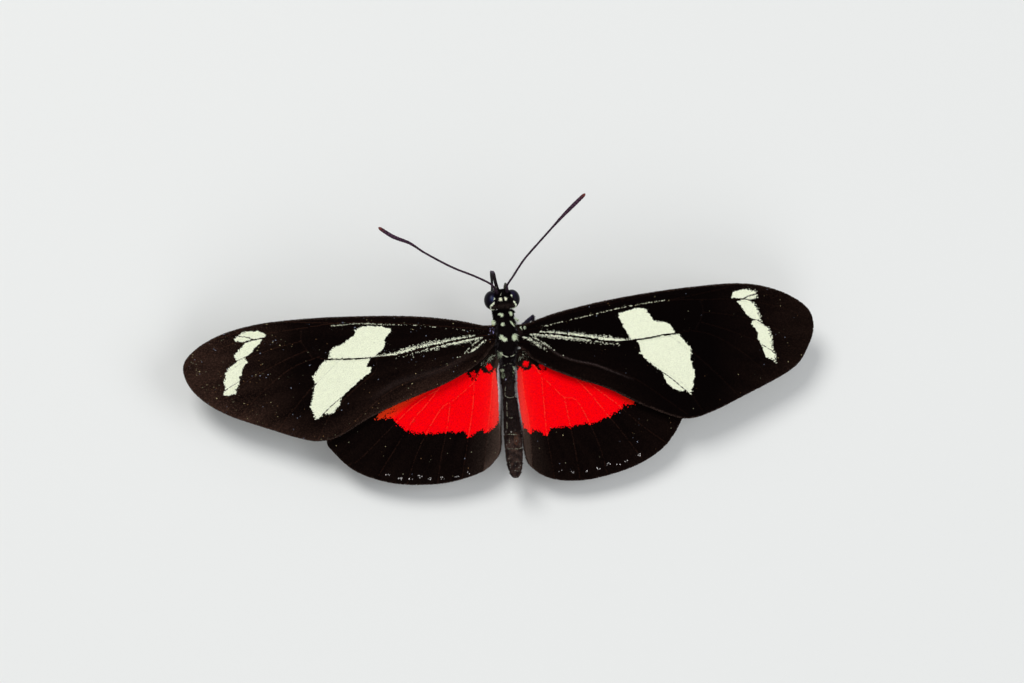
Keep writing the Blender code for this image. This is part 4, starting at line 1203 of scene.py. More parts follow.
# Pale spots seen from above: place, half width and half length, turn in degrees, colour, closeness
BODY_SPOTS = [
    ((-0.38, 3.97), (0.14, 0.17), 0.0, SPOT_CREAM, 1.0), ((0.14, 3.96), (0.14, 0.12), 0.0, SPOT_CREAM, 1.0),
    ((0.12, 4.06), (0.09, 0.09), 0.0, SPOT_CREAM, 1.0),
    ((-0.93, 4.14), (0.07, 0.11), 0.0, SPOT_GREEN, 1.0), ((0.84, 4.35), (0.065, 0.12), 20.0, SPOT_GREEN, 1.0),
    ((-0.72, 4.78), (0.12, 0.06), 0.0, SPOT_DIM, 0.6), ((-0.42, 4.77), (0.1, 0.06), 0.0, SPOT_DIM, 0.4),
    ((0.25, 4.78), (0.12, 0.07), 0.0, SPOT_GREEN, 0.9),
    ((-0.46, 2.46), (0.21, 0.1), -6.0, SPOT_GREEN, 1.0), ((-0.36, 2.34), (0.14, 0.12), 0.0, SPOT_GREEN, 1.0),
    ((0.57, 2.47), (0.19, 0.22), 0.0, SPOT_GREEN, 1.0),
    ((-1.15, 1.25), (0.08, 0.2), 0.0, SPOT_DIM, 0.5),
    ((-0.36, 1.43), (0.14, 0.18), -8.0, SPOT_GREEN, 1.0), ((0.64, 1.4), (0.08, 0.33), 36.0, SPOT_GREEN, 1.0),
    ((-0.62, 0.14), (0.2, 0.22), 0.0, SPOT_GREEN, 1.0), ((-0.31, -0.1), (0.21, 0.2), 0.0, SPOT_GREEN, 1.0),
    ((0.69, 0.03), (0.24, 0.33), -12.0, SPOT_GREEN, 1.0), ((-1.12, 0.0), (0.05, 0.5), 0.0, SPOT_DIM, 0.5),
    ((-0.8, -1.6), (0.25, 0.32), 0.0, SPOT_DIM, 0.9),
    ((-0.62, -3.22), (0.15, 0.15), 0.0, SPOT_DIM, 1.0), ((-0.6, -3.75), (0.16, 0.3), 0.0, SPOT_DIM, 0.3),
    ((0.52, -3.06), (0.1, 0.19), 12.0, SPOT_DIM, 1.0), ((0.42, -3.65), (0.1, 0.3), 0.0, SPOT_DIM, 0.15),
    # A small violet glint painted on the abdomen
    ((-0.38, -4.15), (0.06, 0.06), 0.0, VIOLET_GLINT, 1.0),
]
# Pale lines seen from above: points, half width and closeness
BODY_LINES = [
    ([(-0.95, -1.15), (-0.5, -1.63), (-0.08, -1.85)], 0.022, 1.0),
    ([(0.22, -1.83), (0.7, -1.62), (0.95, -1.2)], 0.015, 0.8),
    ([(-0.6, -2.75), (-0.3, -2.72)], 0.03, 0.3), ([(-0.2, -2.58), (0.35, -2.6)], 0.02, 0.2),
    ([(-0.45, -4.9), (-0.5, -5.25)], 0.03, 0.5), ([(0.47, -4.6), (0.42, -5.4)], 0.02, 0.4),
    ([(-0.5, -5.5), (-0.52, -5.78), (-0.3, -5.98), (0.0, -6.05), (0.25, -5.98)], 0.03, 0.9),
    ([(0.38, -5.9), (0.55, -5.65)], 0.03, 0.7),
    ([(-0.45, -6.5), (-0.45, -7.2)], 0.03, 0.7), ([(-0.47, -7.4), (-0.5, -7.9)], 0.03, 0.5),
    ([(-0.56, -8.48), (-0.6, -9.14)], 0.03, 0.6), ([(-0.48, -10.17), (-0.51, -10.58)], 0.03, 0.4),
    ([(-0.38, -8.1), (-0.05, -8.1)], 0.03, 0.2), ([(-0.8, -9.72), (0.25, -9.85)], 0.03, 0.35),
    ([(-0.72, -11.2), (0.2, -11.3), (0.97, -11.22)], 0.03, 0.3), ([(-0.7, -12.55), (0.6, -12.6)], 0.03, 0.2),
    ([(-0.5, -13.5), (0.5, -13.5)], 0.03, 0.15),
]
RED_BROWN = srgb(92, 60, 46)
RED_BROWN_PLACE = (0.18, -10.3)
REAR_FROM = -9.3
SPECK_COLOUR = srgb(150, 148, 140)
SKIN_SHADE = 0.3
BODY_LINE_STEP = 0.1
SECTIONS = smooth_path(SKIN_SECTIONS, 0.08)[::-1]


def section_at(y):
    """Half width, top, bottom and roundness of the skin at places along the body."""
    return [np.interp(y, SECTIONS[:, 0], SECTIONS[:, column]) for column in (1, 2, 3, 4)]


def skin_point(y, turn):
    """A point of the skin at a place along the body and an angle round it from the right."""
    half, top, bottom, roundness = section_at(y)
    groove = np.zeros_like(y)
    for joint in ABDOMEN_JOINTS:
        groove += GROOVE_DEPTH * np.exp(-((y - joint) / GROOVE_WIDTH) ** 2)
    half = np.maximum(half - groove, 0.01)
    c = np.cos(turn)
    s = np.sin(turn)
    height = np.where(s > 0, np.maximum(top - groove, 0.01), np.maximum(-bottom - groove, 0.01))
    across = half * np.sign(c) * np.abs(c) ** roundness
    return np.stack([across, y, height * np.sign(s) * np.abs(s) ** roundness], axis=-1)


def skin_axes(y, turn):
    """Point, rearward, sideways and outward directions of the skin."""
    step = 0.03
    here = skin_point(y, turn)
    rear = unit(skin_point(y - step, turn) - skin_point(y + step, turn))
    round_it = unit(skin_point(y, turn + step) - skin_point(y, turn - step))
    out = unit(np.cross(round_it, rear))
    return here, rear, round_it, out


def body_unwrap(y, turn):
    u = (turn / (2 * math.pi)) % 1.0
    v = (y - BODY_BACK) / (BODY_FRONT - BODY_BACK)
    return framed(np.stack([u, v], axis=-1), BODY_EDGE)


def body_paint(points, out, draw, lined=False):
    """Colours of the body, and which of its points lie in a pale spot.

    The coat's own rows of scales make its thin lines, so only the skin is lined here.
    """
    count = len(points)
    plan = points[:, :2]
    fine = draw.uniform(size=count)
    colours = mixed(BODY_BLACK, BODY_BROWN, 0.1 * fine)
    middle = clamped((-2.6 - plan[:, 1]) / 2.0)
    colours = mixed(colours, BODY_BROWN, 0.25 * middle * draw.uniform(size=count))
    rear = clamped((REAR_FROM - plan[:, 1]) / 0.9)
    patchy = np.clip(0.55 + 0.5 * ripple(points, 0.9, 61), 0.1, 1.0)
    colours = mixed(colours, REAR_BROWN, rear * patchy * draw.uniform(0.3, 1.0, size=count))
    warm = np.hypot((plan[:, 0] - RED_BROWN_PLACE[0]) / 0.25, (plan[:, 1] - RED_BROWN_PLACE[1]) / 0.7)
    colours = mixed(colours, RED_BROWN, np.where(warm < 1.0, 0.7 * fine, 0.0))
    nape = np.exp(-((plan[:, 1] - 3.3) / 0.22) ** 2)
    colours = mixed(colours, NAPE_BROWN, nape * draw.uniform(0.0, 1.0, size=count) ** 2)
    below = clamped(-out[:, 2] * 1.6 - 0.3) * (plan[:, 1] < -2.7)
    colours = mixed(colours, UNDERSIDE, below * 0.6)
    pale = np.zeros(count, bool)
    on_back = out[:, 2] > 0.05
    for place, size, turn, colour, close in BODY_SPOTS:
        angle = math.radians(turn)
        offset = plan - np.array(place)
        u = offset[:, 0] * math.cos(angle) + offset[:, 1] * math.sin(angle)
        v = offset[:, 1] * math.cos(angle) - offset[:, 0] * math.sin(angle)
        reach = np.hypot(u / size[0], v / size[1]) + 0.06 * draw.normal(size=count)
        spot = (reach < 1.0) & on_back & (draw.uniform(size=count) < close)
        tone = mixed(colour, SPOT_CREAM, 0.3 * fine * close)
        colours = chosen(spot, tone, colours)
        pale |= spot
    for line, half, close in BODY_LINES if lined else []:
        gap, _ = to_path(plan, smooth_path(line, BODY_LINE_STEP))
        stroke = (gap < half) & on_back & (draw.uniform(size=count) < close)
        colours = chosen(stroke, mixed(colours, SPOT_CREAM, 0.2 + 0.2 * fine), colours)
    specks = (plan[:, 1] < REAR_FROM) & (draw.uniform(size=count) < 0.015) & on_back
    colours = chosen(specks, SPECK_COLOUR, colours)
    return colours, pale


def add_skin(finish):
    """One seamless skin from brow to tail."""
    places = np.concatenate([np.linspace(*row) for row in SKIN_ROWS])
    rows = len(places)
    turns = 2 * math.pi * np.arange(SKIN_SIDES) / SKIN_SIDES
    y, turn = np.meshgrid(places, turns, indexing="ij")
    here, _, _, out = skin_axes(y.ravel(), turn.ravel())
    ends = np.array([here[:SKIN_SIDES].mean(axis=0), here[-SKIN_SIDES:].mean(axis=0)])
    points = np.vstack([here, ends])
    out = np.vstack([out, [(0.0, 1.0, 0.0)], [(0.0, -1.0, 0.0)]])
    colours, _ = body_paint(points, out, np.random.default_rng(3), True)
    colours = mixed(colours, BODY_BLACK, SKIN_SHADE)

    # The unwrap has one column more than the ring, so that its last face closes at the edge
    grid = np.arange(rows * SKIN_SIDES).reshape(rows, SKIN_SIDES)
    wide = np.arange(rows * (SKIN_SIDES + 1)).reshape(rows, SKIN_SIDES + 1)
    ring = np.concatenate([grid, grid[:, :1]], axis=1)
    v, u = np.meshgrid((places - BODY_BACK) / (BODY_FRONT - BODY_BACK),
                       np.arange(SKIN_SIDES + 1) / SKIN_SIDES, indexing="ij")
    uv = framed(np.stack([u.ravel(), v.ravel()], axis=1), BODY_EDGE)
    uv = np.vstack([uv, [(0.5, 0.995)], [(0.5, 0.005)]])
    faces = []
    for index in (ring, wide):
        tail = index.max() + 1
        faces.append(np.vstack([
            quads(index[:-1, :-1], index[:-1, 1:], index[1:, 1:], index[1:, :-1]),
            cap(tail, index[0, 1:], index[0, :-1]), cap(tail + 1, index[-1, :-1], index[-1, 1:])]))
    skin = add_mesh("body_skin", pitched(points), faces[0], colours, uv, uv_faces=faces[1])
    settle(skin, finish, "body_scales", "head", "thorax", "abdomen")


def body_tufts(low, high, count, shape, length, width, rise, draw, recolour=None, wanted=None,
               spread=0.25, lean=1.0):
    """A stretch of the coat: its hairs or scales lie to the rear, or with lean -1 to the front."""
    y = draw.uniform(low, high, size=count)
    turn = draw.uniform(0.0, 2 * math.pi, size=count)
    here, rear, round_it, out = skin_axes(y, turn)
    colours, pale = body_paint(here + rear * length * 0.5, out, draw)
    if recolour is not None:
        colours = recolour(colours, draw)
    keep = np.ones(count, bool) if wanted is None else wanted(here, out, pale)
    here = here[keep]
    out = out[keep]
    yaw = spread * draw.normal(size=len(here))[:, None]
    along = unit(lean * rear[keep] + yaw * round_it[keep])
    across = np.cross(out, along)
    vary = draw.uniform(0.7, 1.3, size=len(here))
    widths = width * draw.uniform(0.8, 1.2, size=len(here))
    rises = rise * draw.uniform(0.5, 1.4, size=len(here))
    return place_many(shape, here + out * 0.004, along, across, out, length * vary, widths, rises,
                      colours[keep], body_unwrap(y[keep], turn[keep]))


LINE_SPACING = 0.012
ABDOMEN_FRONT = -2.5


def line_tufts(low, high, draw):
    """The thin pale lines of the back between two places along it: rows of small scales."""
    rows = []
    for line, half, close in BODY_LINES:
        path = smooth_path(line, LINE_SPACING)
        path = path[draw.uniform(size=len(path)) < close]
        rows.append(path + half * draw.uniform(-0.8, 0.8, size=path.shape))
    plan = np.vstack(rows)
    plan = plan[(plan[:, 1] > low) & (plan[:, 1] < high)]
    y = plan[:, 1]
    half, _, _, roundness = section_at(y)
    share = clamped(np.abs(plan[:, 0]) / half) ** (1.0 / roundness)
    turn = np.arccos(share * np.sign(plan[:, 0]))
    here, rear, round_it, out = skin_axes(y, turn)
    count = len(plan)
    along = unit(rear + 0.3 * draw.normal(size=count)[:, None] * round_it)
    bright = mixed(SPOT_GREEN, SPOT_CREAM, draw.uniform(size=count))
    dull = mixed(REAR_BROWN, SPOT_GREEN, 0.45 * draw.uniform(size=count))
    colours = chosen(y > ABDOMEN_FRONT, bright, dull)
    return place_many("scale", here + out * 0.035, along, np.cross(out, along), out,
                      0.08 * draw.uniform(0.7, 1.3, size=count), 0.05,
                      0.045 * draw.uniform(0.6, 1.4, size=count), colours, body_unwrap(y, turn))


# How far out over each eye the fur of the head reaches, at places along the head
EYE_FUR = ((2.97, 1.0), (3.05, 1.22), (3.25, 1.34), (3.5, 1.28), (3.82, 1.04), (4.2, 0.93),
           (4.6, 0.84), (4.95, 0.7))
CRESCENT = [(1.02, 3.72), (1.28, 3.45), (1.36, 3.2), (1.18, 3.0), (0.85, 2.98)]
CRESCENT_HALF = 0.1


def eye_fur(word, count, draw):
    """Fur of the head that lies over the inner rim of an eye, with a cream crescent behind it."""
    side = SIDES[word]
    ball = unit(draw.normal(size=(count, 3)))
    radii = np.array(EYE_RADII)
    here = np.array(EYE_CENTRE) + ball * radii
    out = unit(ball / radii)
    table = np.array(EYE_FUR)
    reach = np.interp(here[:, 1], table[:, 0], table[:, 1]) + 0.02 * draw.normal(size=count)
    reach = reach - 0.25 * clamped(-out[:, 2])
    keep = here[:, 0] < reach
    here = here[keep]
    out = out[keep]
    gap, _ = to_path(here[:, :2], smooth_path(CRESCENT, BODY_LINE_STEP))
    mirrored = np.array([side, 1.0, 1.0])
    colours, _ = body_paint(here * mirrored, out, draw)
    crescent = (gap < CRESCENT_HALF) & (out[:, 2] > 0.0)
    fine = draw.uniform(size=len(here))
    colours = chosen(crescent, mixed(SPOT_GREEN, SPOT_CREAM, fine), colours)
    along = laid(np.array([0.35, -1.0, 0.0]) + 0.25 * draw.normal(size=here.shape), out)
    across = np.cross(out, along)
    size = len(here)
    root = (here - out * 0.01) * mirrored + EYE_SHIFT
    shape = place_many("hair", root, along * mirrored, across * mirrored, out * mirrored,
                       0.17 * draw.uniform(0.7, 1.3, size=size), 0.06,
                       0.04 * draw.uniform(0.5, 1.5, size=size), colours,
                       body_unwrap(here[:, 1], np.full(size, 1.6 - 1.2 * side)))
    if side < 0:
        points, faces, paint, uv = shape
        shape = (points, faces[:, ::-1], paint, uv)
    return shape


# Scaly lobes at the roots of the forewings: middle, half sizes, turn in degrees, colour, and how
# many of their scales have it; those in front of the wings are pale, the lobes over the roots dark with a few
# painted violet glints
LOBES = [
    ((-1.48, 0.84, 0.64), (0.28, 0.4, 0.16), 0.0, VIOLET_GLINT, 0.1),
    ((1.3, 0.72, 0.7), (0.36, 0.6, 0.2), 0.0, VIOLET_GLINT, 0.01),
    ((-1.14, 1.66, 0.35), (0.23, 0.22, 0.25), 0.0, SPOT_GREEN, 1.0),
    ((1.22, 1.82, 0.3), (0.08, 0.24, 0.18), 50.0, SPOT_GREEN, 0.85),
    ((1.48, 0.92, 0.78), (0.05, 0.24, 0.1), 18.0, SPOT_GREEN, 0.8),
    ((1.88, 0.95, 0.7), (0.09, 0.08, 0.07), 0.0, SPOT_GREEN, 0.8),
]
LOBE_SCALES_PER_SIZE = 2600.0
LOBE_SCALES_LEAST = 60


def lobe_tufts(lobe, draw):
    centre, radii, turn, colour, close = lobe
    radii = np.array(radii)
    count = int(LOBE_SCALES_PER_SIZE * radii[0] * radii[1]) + LOBE_SCALES_LEAST
    ball = unit(draw.normal(size=(count, 3)))
    angle = math.radians(turn)
    spin = np.array([[math.cos(angle), math.sin(angle), 0.0], [-math.sin(angle), math.cos(angle), 0.0],
                     [0.0, 0.0, 1.0]])
    here = np.array(centre) + (ball * radii) @ spin
    out = unit(ball / radii) @ spin
    dark = mixed(BODY_BLACK, BODY_BROWN, 0.4 * draw.uniform(size=count))
    # Scales of the lobe's colour: on the pale lobes their real spot, on the dark lobes painted violet glints
    colours = chosen(draw.uniform(size=count) < close, colour, dark)
    side = math.copysign(0.55, centre[0])
    along = laid(np.array([side, -1.0, -0.1]) + 0.3 * draw.normal(size=here.shape), out)
    return place_many("scale", here, along, np.cross(out, along), out,
                      0.14 * draw.uniform(0.7, 1.3, size=count), 0.08,
                      0.04 * draw.uniform(0.5, 1.5, size=count), colours,
                      body_unwrap(here[:, 1], np.full(count, 1.6 - math.copysign(0.8, centre[0]))))


def in_spots(here, out, pale):
    return pale


def on_flanks(here, out, pale):
    return (np.abs(out[:, 2]) < 0.7) & (np.abs(here[:, 0]) > 0.5)


def on_neck(here, out, pale):
    return (np.abs(out[:, 0]) > 0.6) & ~pale


def on_right(here, out, pale):
    return out[:, 0] > 0.7


def greyed(colours, draw):
    return mixed(colours, HAIR_GREY, 0.9 * draw.uniform(size=len(colours)) ** 1.5)


def frosted(colours, draw):
    return mixed(colours, FRINGE_GREY, 0.35 + 0.35 * draw.uniform(size=len(colours)))


THORAX_SPAN = (-2.6, 2.85)
ABDOMEN_SPAN = (-14.1, -2.6)
# Layers of the coat: from and to along the body, how many, of what shape, their length, width and
# rise, and what sets them apart
COAT = {
    "head": [
        (2.82, 4.75, 11000, "hair", 0.2, 0.05, 0.09, {"spread": 0.5}),
        (2.95, 4.7, 22000, "scale", 0.1, 0.065, 0.03, {"wanted": in_spots}),
        (2.95, 3.5, 2500, "hair", 0.3, 0.05, 0.1, {"spread": 0.9}),
        (4.3, 4.8, 2200, "hair", 0.36, 0.045, 0.14, {"spread": 0.4, "lean": -1.0}),
    ],
    "thorax": [
        (-2.7, 2.85, 19000, "hair", 0.24, 0.055, 0.08, {"spread": 0.35}),
        (-2.7, 2.85, 60000, "scale", 0.1, 0.065, 0.03, {"wanted": in_spots}),
        (-2.9, 1.9, 1600, "hair", 0.5, 0.035, 0.22, {"recolour": greyed, "wanted": on_flanks, "spread": 0.8}),
        (2.6, 3.1, 4200, "hair", 0.3, 0.05, 0.24, {"wanted": on_neck, "spread": 0.8}),
    ],
    "abdomen": [
        (*ABDOMEN_SPAN, 12800, "scale", 0.21, 0.13, 0.035, {"spread": 0.15}),
        (*ABDOMEN_SPAN, 5000, "hair", 0.22, 0.03, 0.08, {"recolour": greyed, "spread": 0.3}),
        (*ABDOMEN_SPAN, 50000, "scale", 0.09, 0.06, 0.045, {"wanted": in_spots}),
    ],
    "right flank": [
        (-6.2, -2.8, 2600, "hair", 0.32, 0.03, 0.12,
         {"recolour": frosted, "wanted": on_right, "spread": 0.4}),
    ],
}
EYE_FUR_COUNT = 7500


def add_layers(pile, stretch, draw):
    for *numbers, special in COAT[stretch]:
        pile.add(*body_tufts(*numbers, draw, **special))


def add_coat(finish):
    """Velvet on head and thorax, flat scales on the abdomen, plates on the pale spots."""
    draw = np.random.default_rng(17)
    head = Pile()
    add_layers(head, "head", draw)
    for word in ("left", "right"):
        head.add(*eye_fur(word, EYE_FUR_COUNT, draw))
    thorax = Pile()
    add_layers(thorax, "thorax", draw)
    thorax.add(*line_tufts(*THORAX_SPAN, draw))
    for lobe in LOBES:
        thorax.add(*lobe_tufts(lobe, draw))
    abdomen = Pile()
    add_layers(abdomen, "abdomen", draw)
    abdomen.add(*line_tufts(*ABDOMEN_SPAN, draw))
    add_layers(abdomen, "right flank", draw)
    for name, pile in (("head_coat", head), ("thorax_coat", thorax), ("abdomen_coat", abdomen)):
        settle(pile.finish(name, pitched, False), finish, "body_scales")


# Head

EYE_CENTRE = (1.03, 3.95, 0.0)
EYE_RADII = (0.81, 0.97, 0.98)
EYE_SHIFT = (-0.09, 0.0, 0.0)
EYE_SEGMENTS = 72
EYE_RINGS = 48
EYE_DARK = srgb(4, 3, 8)
EYE_PURPLE = srgb(14, 9, 22)
# The bluish highlight painted on each eye: its direction on the right eye, how tight it is, its colour and
# strength
EYE_HIGHLIGHT = {
    "left": ((0.1, 0.15, 0.98), 0.035, srgb(66, 78, 124), 0.45),
    "right": ((-0.1, 0.55, 0.8), 0.05, srgb(58, 50, 96), 0.25),
}
ANTENNA_PATHS = {
    "left": [(-0.6, 4.5, 0.6), (-0.82, 4.88, 0.9), (-1.3, 5.56, 1.2), (-2.9, 6.45, 1.6), (-5.4, 7.6, 2.1),
             (-8.0, 9.15, 2.5), (-9.55, 10.25, 2.75), (-11.2, 11.0, 3.0), (-12.7, 12.05, 3.2)],
    "right": [(0.36, 4.5, 0.55), (0.38, 4.95, 0.8), (0.4, 5.35, 1.0), (0.64, 5.8, 1.45), (0.93, 6.22, 1.8),
              (1.56, 7.19, 2.4), (2.34, 8.19, 2.95), (4.65, 10.57, 4.0), (6.2, 12.12, 4.7),
              (8.25, 13.97, 5.65)],
}
FEELER_JOINT = 0.34
FEELER_SIDES = 14
FEELER_SCALES = 900
FEELER_RADIUS = 0.095
CLUB_LENGTH = 5.0
CLUB_GROWTH = 0.1
PALP_RADIUS = 0.14
PALP_SIDES = 16
FEELER = srgb(80, 54, 72)
FEELER_DARK = srgb(44, 28, 42)
FEELER_TIP = srgb(110, 52, 40)
PALP_PATHS = {
    "left": [(-0.6, 4.3, -0.6), (-0.68, 4.75, -0.5), (-0.7, 5.0, -0.35), (-0.66, 5.22, -0.1)],
    "right": [(0.42, 4.3, -0.6), (0.39, 4.82, -0.45), (0.37, 5.22, -0.2), (0.39, 5.5, 0.0)],
}
PROBOSCIS_PATH = [
    (0.0, 4.3, -1.0), (-0.24, 5.0, -1.25), (-0.44, 5.9, -1.18), (-0.56, 6.65, -1.15),
    (-0.62, 6.9, -1.75), (-0.52, 6.55, -2.7), (-0.28, 5.95, -4.1), (-0.06, 5.4, -5.5),
    (0.08, 5.0, -6.7), (0.15, 4.8, -7.4),
]
TONGUE_SIDES = 12
TONGUE_RING = 0.12
TONGUE_KNEE = 2.9
TONGUE = srgb(26, 19, 22)
# Paler colour painted at the tongue's bend as a highlight
TONGUE_HIGHLIGHT = srgb(92, 84, 96)


def add_eye(word, finish):
    side = SIDES[word]
    v = np.linspace(0.0, math.pi, EYE_RINGS + 1)
    u = 2 * math.pi * np.arange(EYE_SEGMENTS) / EYE_SEGMENTS
    vv, uu = np.meshgrid(v[1:-1], u, indexing="ij")
    ball = np.stack([np.cos(vv), np.sin(vv) * np.cos(uu), np.sin(vv) * np.sin(uu)], -1).reshape(-1, 3)
    ball = np.vstack([ball, [(1.0, 0.0, 0.0)], [(-1.0, 0.0, 0.0)]])
    rows = EYE_RINGS - 1
    grid = np.arange(rows * EYE_SEGMENTS).reshape(rows, EYE_SEGMENTS)
    after = np.roll(grid, -1, axis=1)
    pole = rows * EYE_SEGMENTS
    faces = np.vstack([quads(grid[:-1], grid[1:], after[1:], after[:-1]), cap(pole, grid[0], after[0]),
                       cap(pole + 1, after[-1], grid[-1])])
    mirrored = np.array([side, 1.0, 1.0])
    points = EYE_CENTRE * mirrored + EYE_SHIFT + ball * np.array(EYE_RADII) * mirrored
    if side < 0:
        faces = faces[:, ::-1]
    tone = clamped(0.5 + 0.5 * ball[:, 1])
    colours = mixed(EYE_DARK, EYE_PURPLE, tone)
    # A painted highlight: bluish colour mixed in round one direction of the eye
    heading, tightness, highlight_colour, strength = EYE_HIGHLIGHT[word]
    apart = 1.0 - ball @ unit(np.array(heading))
    colours = mixed(colours, highlight_colour, strength * np.exp(-apart / tightness))
    uv = np.stack([0.5 + 0.45 * ball[:, 1], 0.5 + 0.45 * ball[:, 2]], axis=1)
    eye = add_mesh("eye_ball_" + word, pitched(points), faces, colours, uv)
    settle(eye, finish, "eye", "eye_" + word)


def add_antenna(word, finish):
    """A feeler in many short joints, thicker in its last fifth, with a blunt red-brown tip."""
    path = smooth_path(ANTENNA_PATHS[word], 0.07)
    lengths = lengths_along(path)
    to_tip = lengths[-1] - lengths
    club = clamped(1.0 - to_tip / CLUB_LENGTH)
    radii = FEELER_RADIUS + CLUB_GROWTH * np.sin(math.pi * club ** 1.2 * 0.78)
    radii = radii + 0.1 * np.exp(-((lengths - 0.35) / 0.22) ** 2)
    joint = (lengths / FEELER_JOINT) % 1.0
    radii = radii * (1.0 - 0.12 * np.exp(-((joint - 0.06) / 0.1) ** 2))
    radii = radii * clamped(to_tip / 0.25) ** 0.5 + 0.004
    at = np.concatenate([np.repeat(lengths, FEELER_SIDES), [0.0, lengths[-1]]])
    draw = np.random.default_rng(71)
    band = 0.5 + 0.5 * np.sin(2 * math.pi * at / FEELER_JOINT)
    colours = mixed(FEELER, FEELER_DARK, band)
    colours = mixed(colours, BODY_BLACK, 0.8 * clamped(1.4 - at))
    near_tip = clamped(1.0 - (lengths[-1] - at) / 0.8)
    colours = mixed(colours, FEELER_TIP, near_tip * 0.9)
    pile = Pile()
    grow(pile, path, radii, FEELER_SIDES, colours)
    pick = draw.integers(8, len(path) - 6, size=FEELER_SCALES)
    turn = draw.uniform(0, 2 * math.pi, size=len(pick))
    heading = unit(np.gradient(path, axis=0))[pick]
    out = round_about(heading, turn)
    tones = mixed(FEELER_DARK, HAIR_GREY, 0.6 * draw.uniform(size=len(pick)))
    root = path[pick] + out * (radii[pick] * 0.97)[:, None]
    uv = np.stack([pick / len(path), turn / 7.0], 1)
    pile.add(*place_many("scale", root, heading, np.cross(out, heading), out, 0.12, 0.07, 0.02, tones, uv))
    piece = pile.finish("feeler_" + word, pitched)
    settle(piece, finish, "feeler", "antenna_" + word)


def grow(pile, path, radii, sides, colours, squash=1.0):
    """Adds a tube to a pile."""
    points, faces, uv = tube(path, radii, sides, squash)
    pile.add(points, faces, colours, uv)


def tapered(pile, knots, spacing, thick, thin):
    """Adds a claw or a spur to a pile."""
    path = smooth_path(knots, spacing)
    grow(pile, path, np.linspace(thick, thin, len(path)), 8, CLAW)


def radii_of(path, table):
    """Radii along a path from a table of shares of its points and radii there."""
    return np.interp(np.linspace(0, 1, len(path)), *table)


def round_about(along, turn):
    """Outward directions from a line at angles round it."""
    side = np.cross(along, [0.0, 0.0, 1.0])
    flat = np.linalg.norm(side, axis=1) < 0.1
    side[flat] = np.cross(along[flat], [1.0, 0.0, 0.0])
    side = unit(side)
    return side * np.cos(turn)[:, None] + np.cross(side, along) * np.sin(turn)[:, None]


def coated(path, radii, count, length, width, rise, colour, other, draw, shape="scale", spread=0.3):
    """Small scales or hairs set all over a tube, pointing along it."""
    heading = unit(np.gradient(path, axis=0))
    pick = draw.integers(1, len(path) - 1, size=count)
    turn = draw.uniform(0, 2 * math.pi, size=count)
    along = heading[pick]
    out = round_about(along, turn)
    root = path[pick] + out * (radii[pick] * 0.96)[:, None]
    across = np.cross(out, along)
    along = unit(along + across * (spread * draw.normal(size=count))[:, None])
    colours = mixed(colour, other, draw.uniform(size=count) ** 2)
    uv = np.stack([pick / len(path), turn / (2 * math.pi)], axis=1)
    vary = draw.uniform(0.7, 1.2, size=count)
    return place_many(shape, root, along, np.cross(out, along), out, length * vary,
                      width, rise * draw.uniform(0.6, 1.4, size=count), colours, uv)


def add_palp(word, finish):
    path = smooth_path(PALP_PATHS[word], 0.05)
    share = np.linspace(0, 1, len(path))
    radii = PALP_RADIUS * (1.0 - share) ** 0.6 + 0.02
    draw = np.random.default_rng(83)
    pile = Pile()
    grow(pile, path, radii, PALP_SIDES, BODY_BLACK)
    pile.add(*coated(path, radii, 900, 0.16, 0.06, 0.05, BODY_BLACK, SPOT_CREAM * 0.5, draw))
    pile.add(*coated(path, radii, 300, 0.22, 0.03, 0.06, BODY_BLACK, HAIR_GREY, draw, "hair"))
    piece = pile.finish("palp_coat_" + word, pitched, False)
    settle(piece, finish, "body_scales", "palp_" + word)


def add_tongue(finish):
    """The tongue: two ringed halves side by side, let down from the head."""
    path = smooth_path(PROBOSCIS_PATH, 0.05)
    lengths = lengths_along(path)
    heading = unit(np.gradient(path, axis=0))
    across = unit(np.cross(heading, [0.25, 0.9, 0.9]))
    taper = np.interp(lengths, [0.0, lengths[-1] * 0.3, lengths[-1]], [0.12, 0.105, 0.06])
    radii = taper * (1.0 + 0.06 * np.sin(2 * math.pi * lengths / TONGUE_RING))
    at = np.concatenate([np.repeat(lengths, TONGUE_SIDES), [0.0, lengths[-1]]])
    # A paler band painted round the tongue's bend as a highlight
    colours = mixed(TONGUE, TONGUE_HIGHLIGHT, 0.8 * np.exp(-((at - TONGUE_KNEE) / 0.35) ** 2))
    pile = Pile()
    for side in (-1.0, 1.0):
        grow(pile, path + across * (side * taper * 0.75)[:, None], radii, TONGUE_SIDES, colours)
    piece = pile.finish("tongue", pitched)
    settle(piece, finish, "feeler", "proboscis")


# Legs

LEG_PLACES = {
    "leg_mid_left": ((-0.45, -0.1, -1.15), (-3.3, 1.3, 5.9), (-4.5, 1.2, 0.75), (-6.4, 3.3)),
    "leg_mid_right": ((0.45, -0.1, -1.15), (3.2, 2.2, 6.5), (4.6, 1.5, 0.75), (6.5, 3.4)),
    "leg_hind_left": ((-0.45, -1.5, -1.0), (-3.2, -3.1, 4.6), (-4.5, -6.6, 0.75), (-5.5, -9.4)),
    "leg_hind_right": ((0.45, -1.5, -1.0), (3.2, -3.1, 4.6), (4.6, -6.8, 0.75), (5.7, -9.5)),
}
FORE_LEG_PATH = [(0.45, 1.9, -0.95), (0.62, 2.55, -1.55), (0.68, 3.3, -1.85), (0.62, 2.6, -2.2),
                 (0.55, 1.9, -2.3)]
# How far each shin bows in under its thigh
SHIN_BOW = 0.15
TARSUS_RADIUS = 0.1
# Radii along thigh, shin and foreleg: shares of the length, and the radius there
THIGH_RADII = ([0.0, 0.12, 0.35, 0.85, 0.97, 1.0], [0.2, 0.25, 0.19, 0.17, 0.15, 0.05])
SHIN_RADII = ([0.0, 0.05, 0.3, 0.9, 1.0], [0.06, 0.15, 0.13, 0.14, 0.06])
FORE_LEG_RADII = ([0.0, 0.3, 0.55, 0.9, 1.0], [0.17, 0.15, 0.12, 0.1, 0.04])
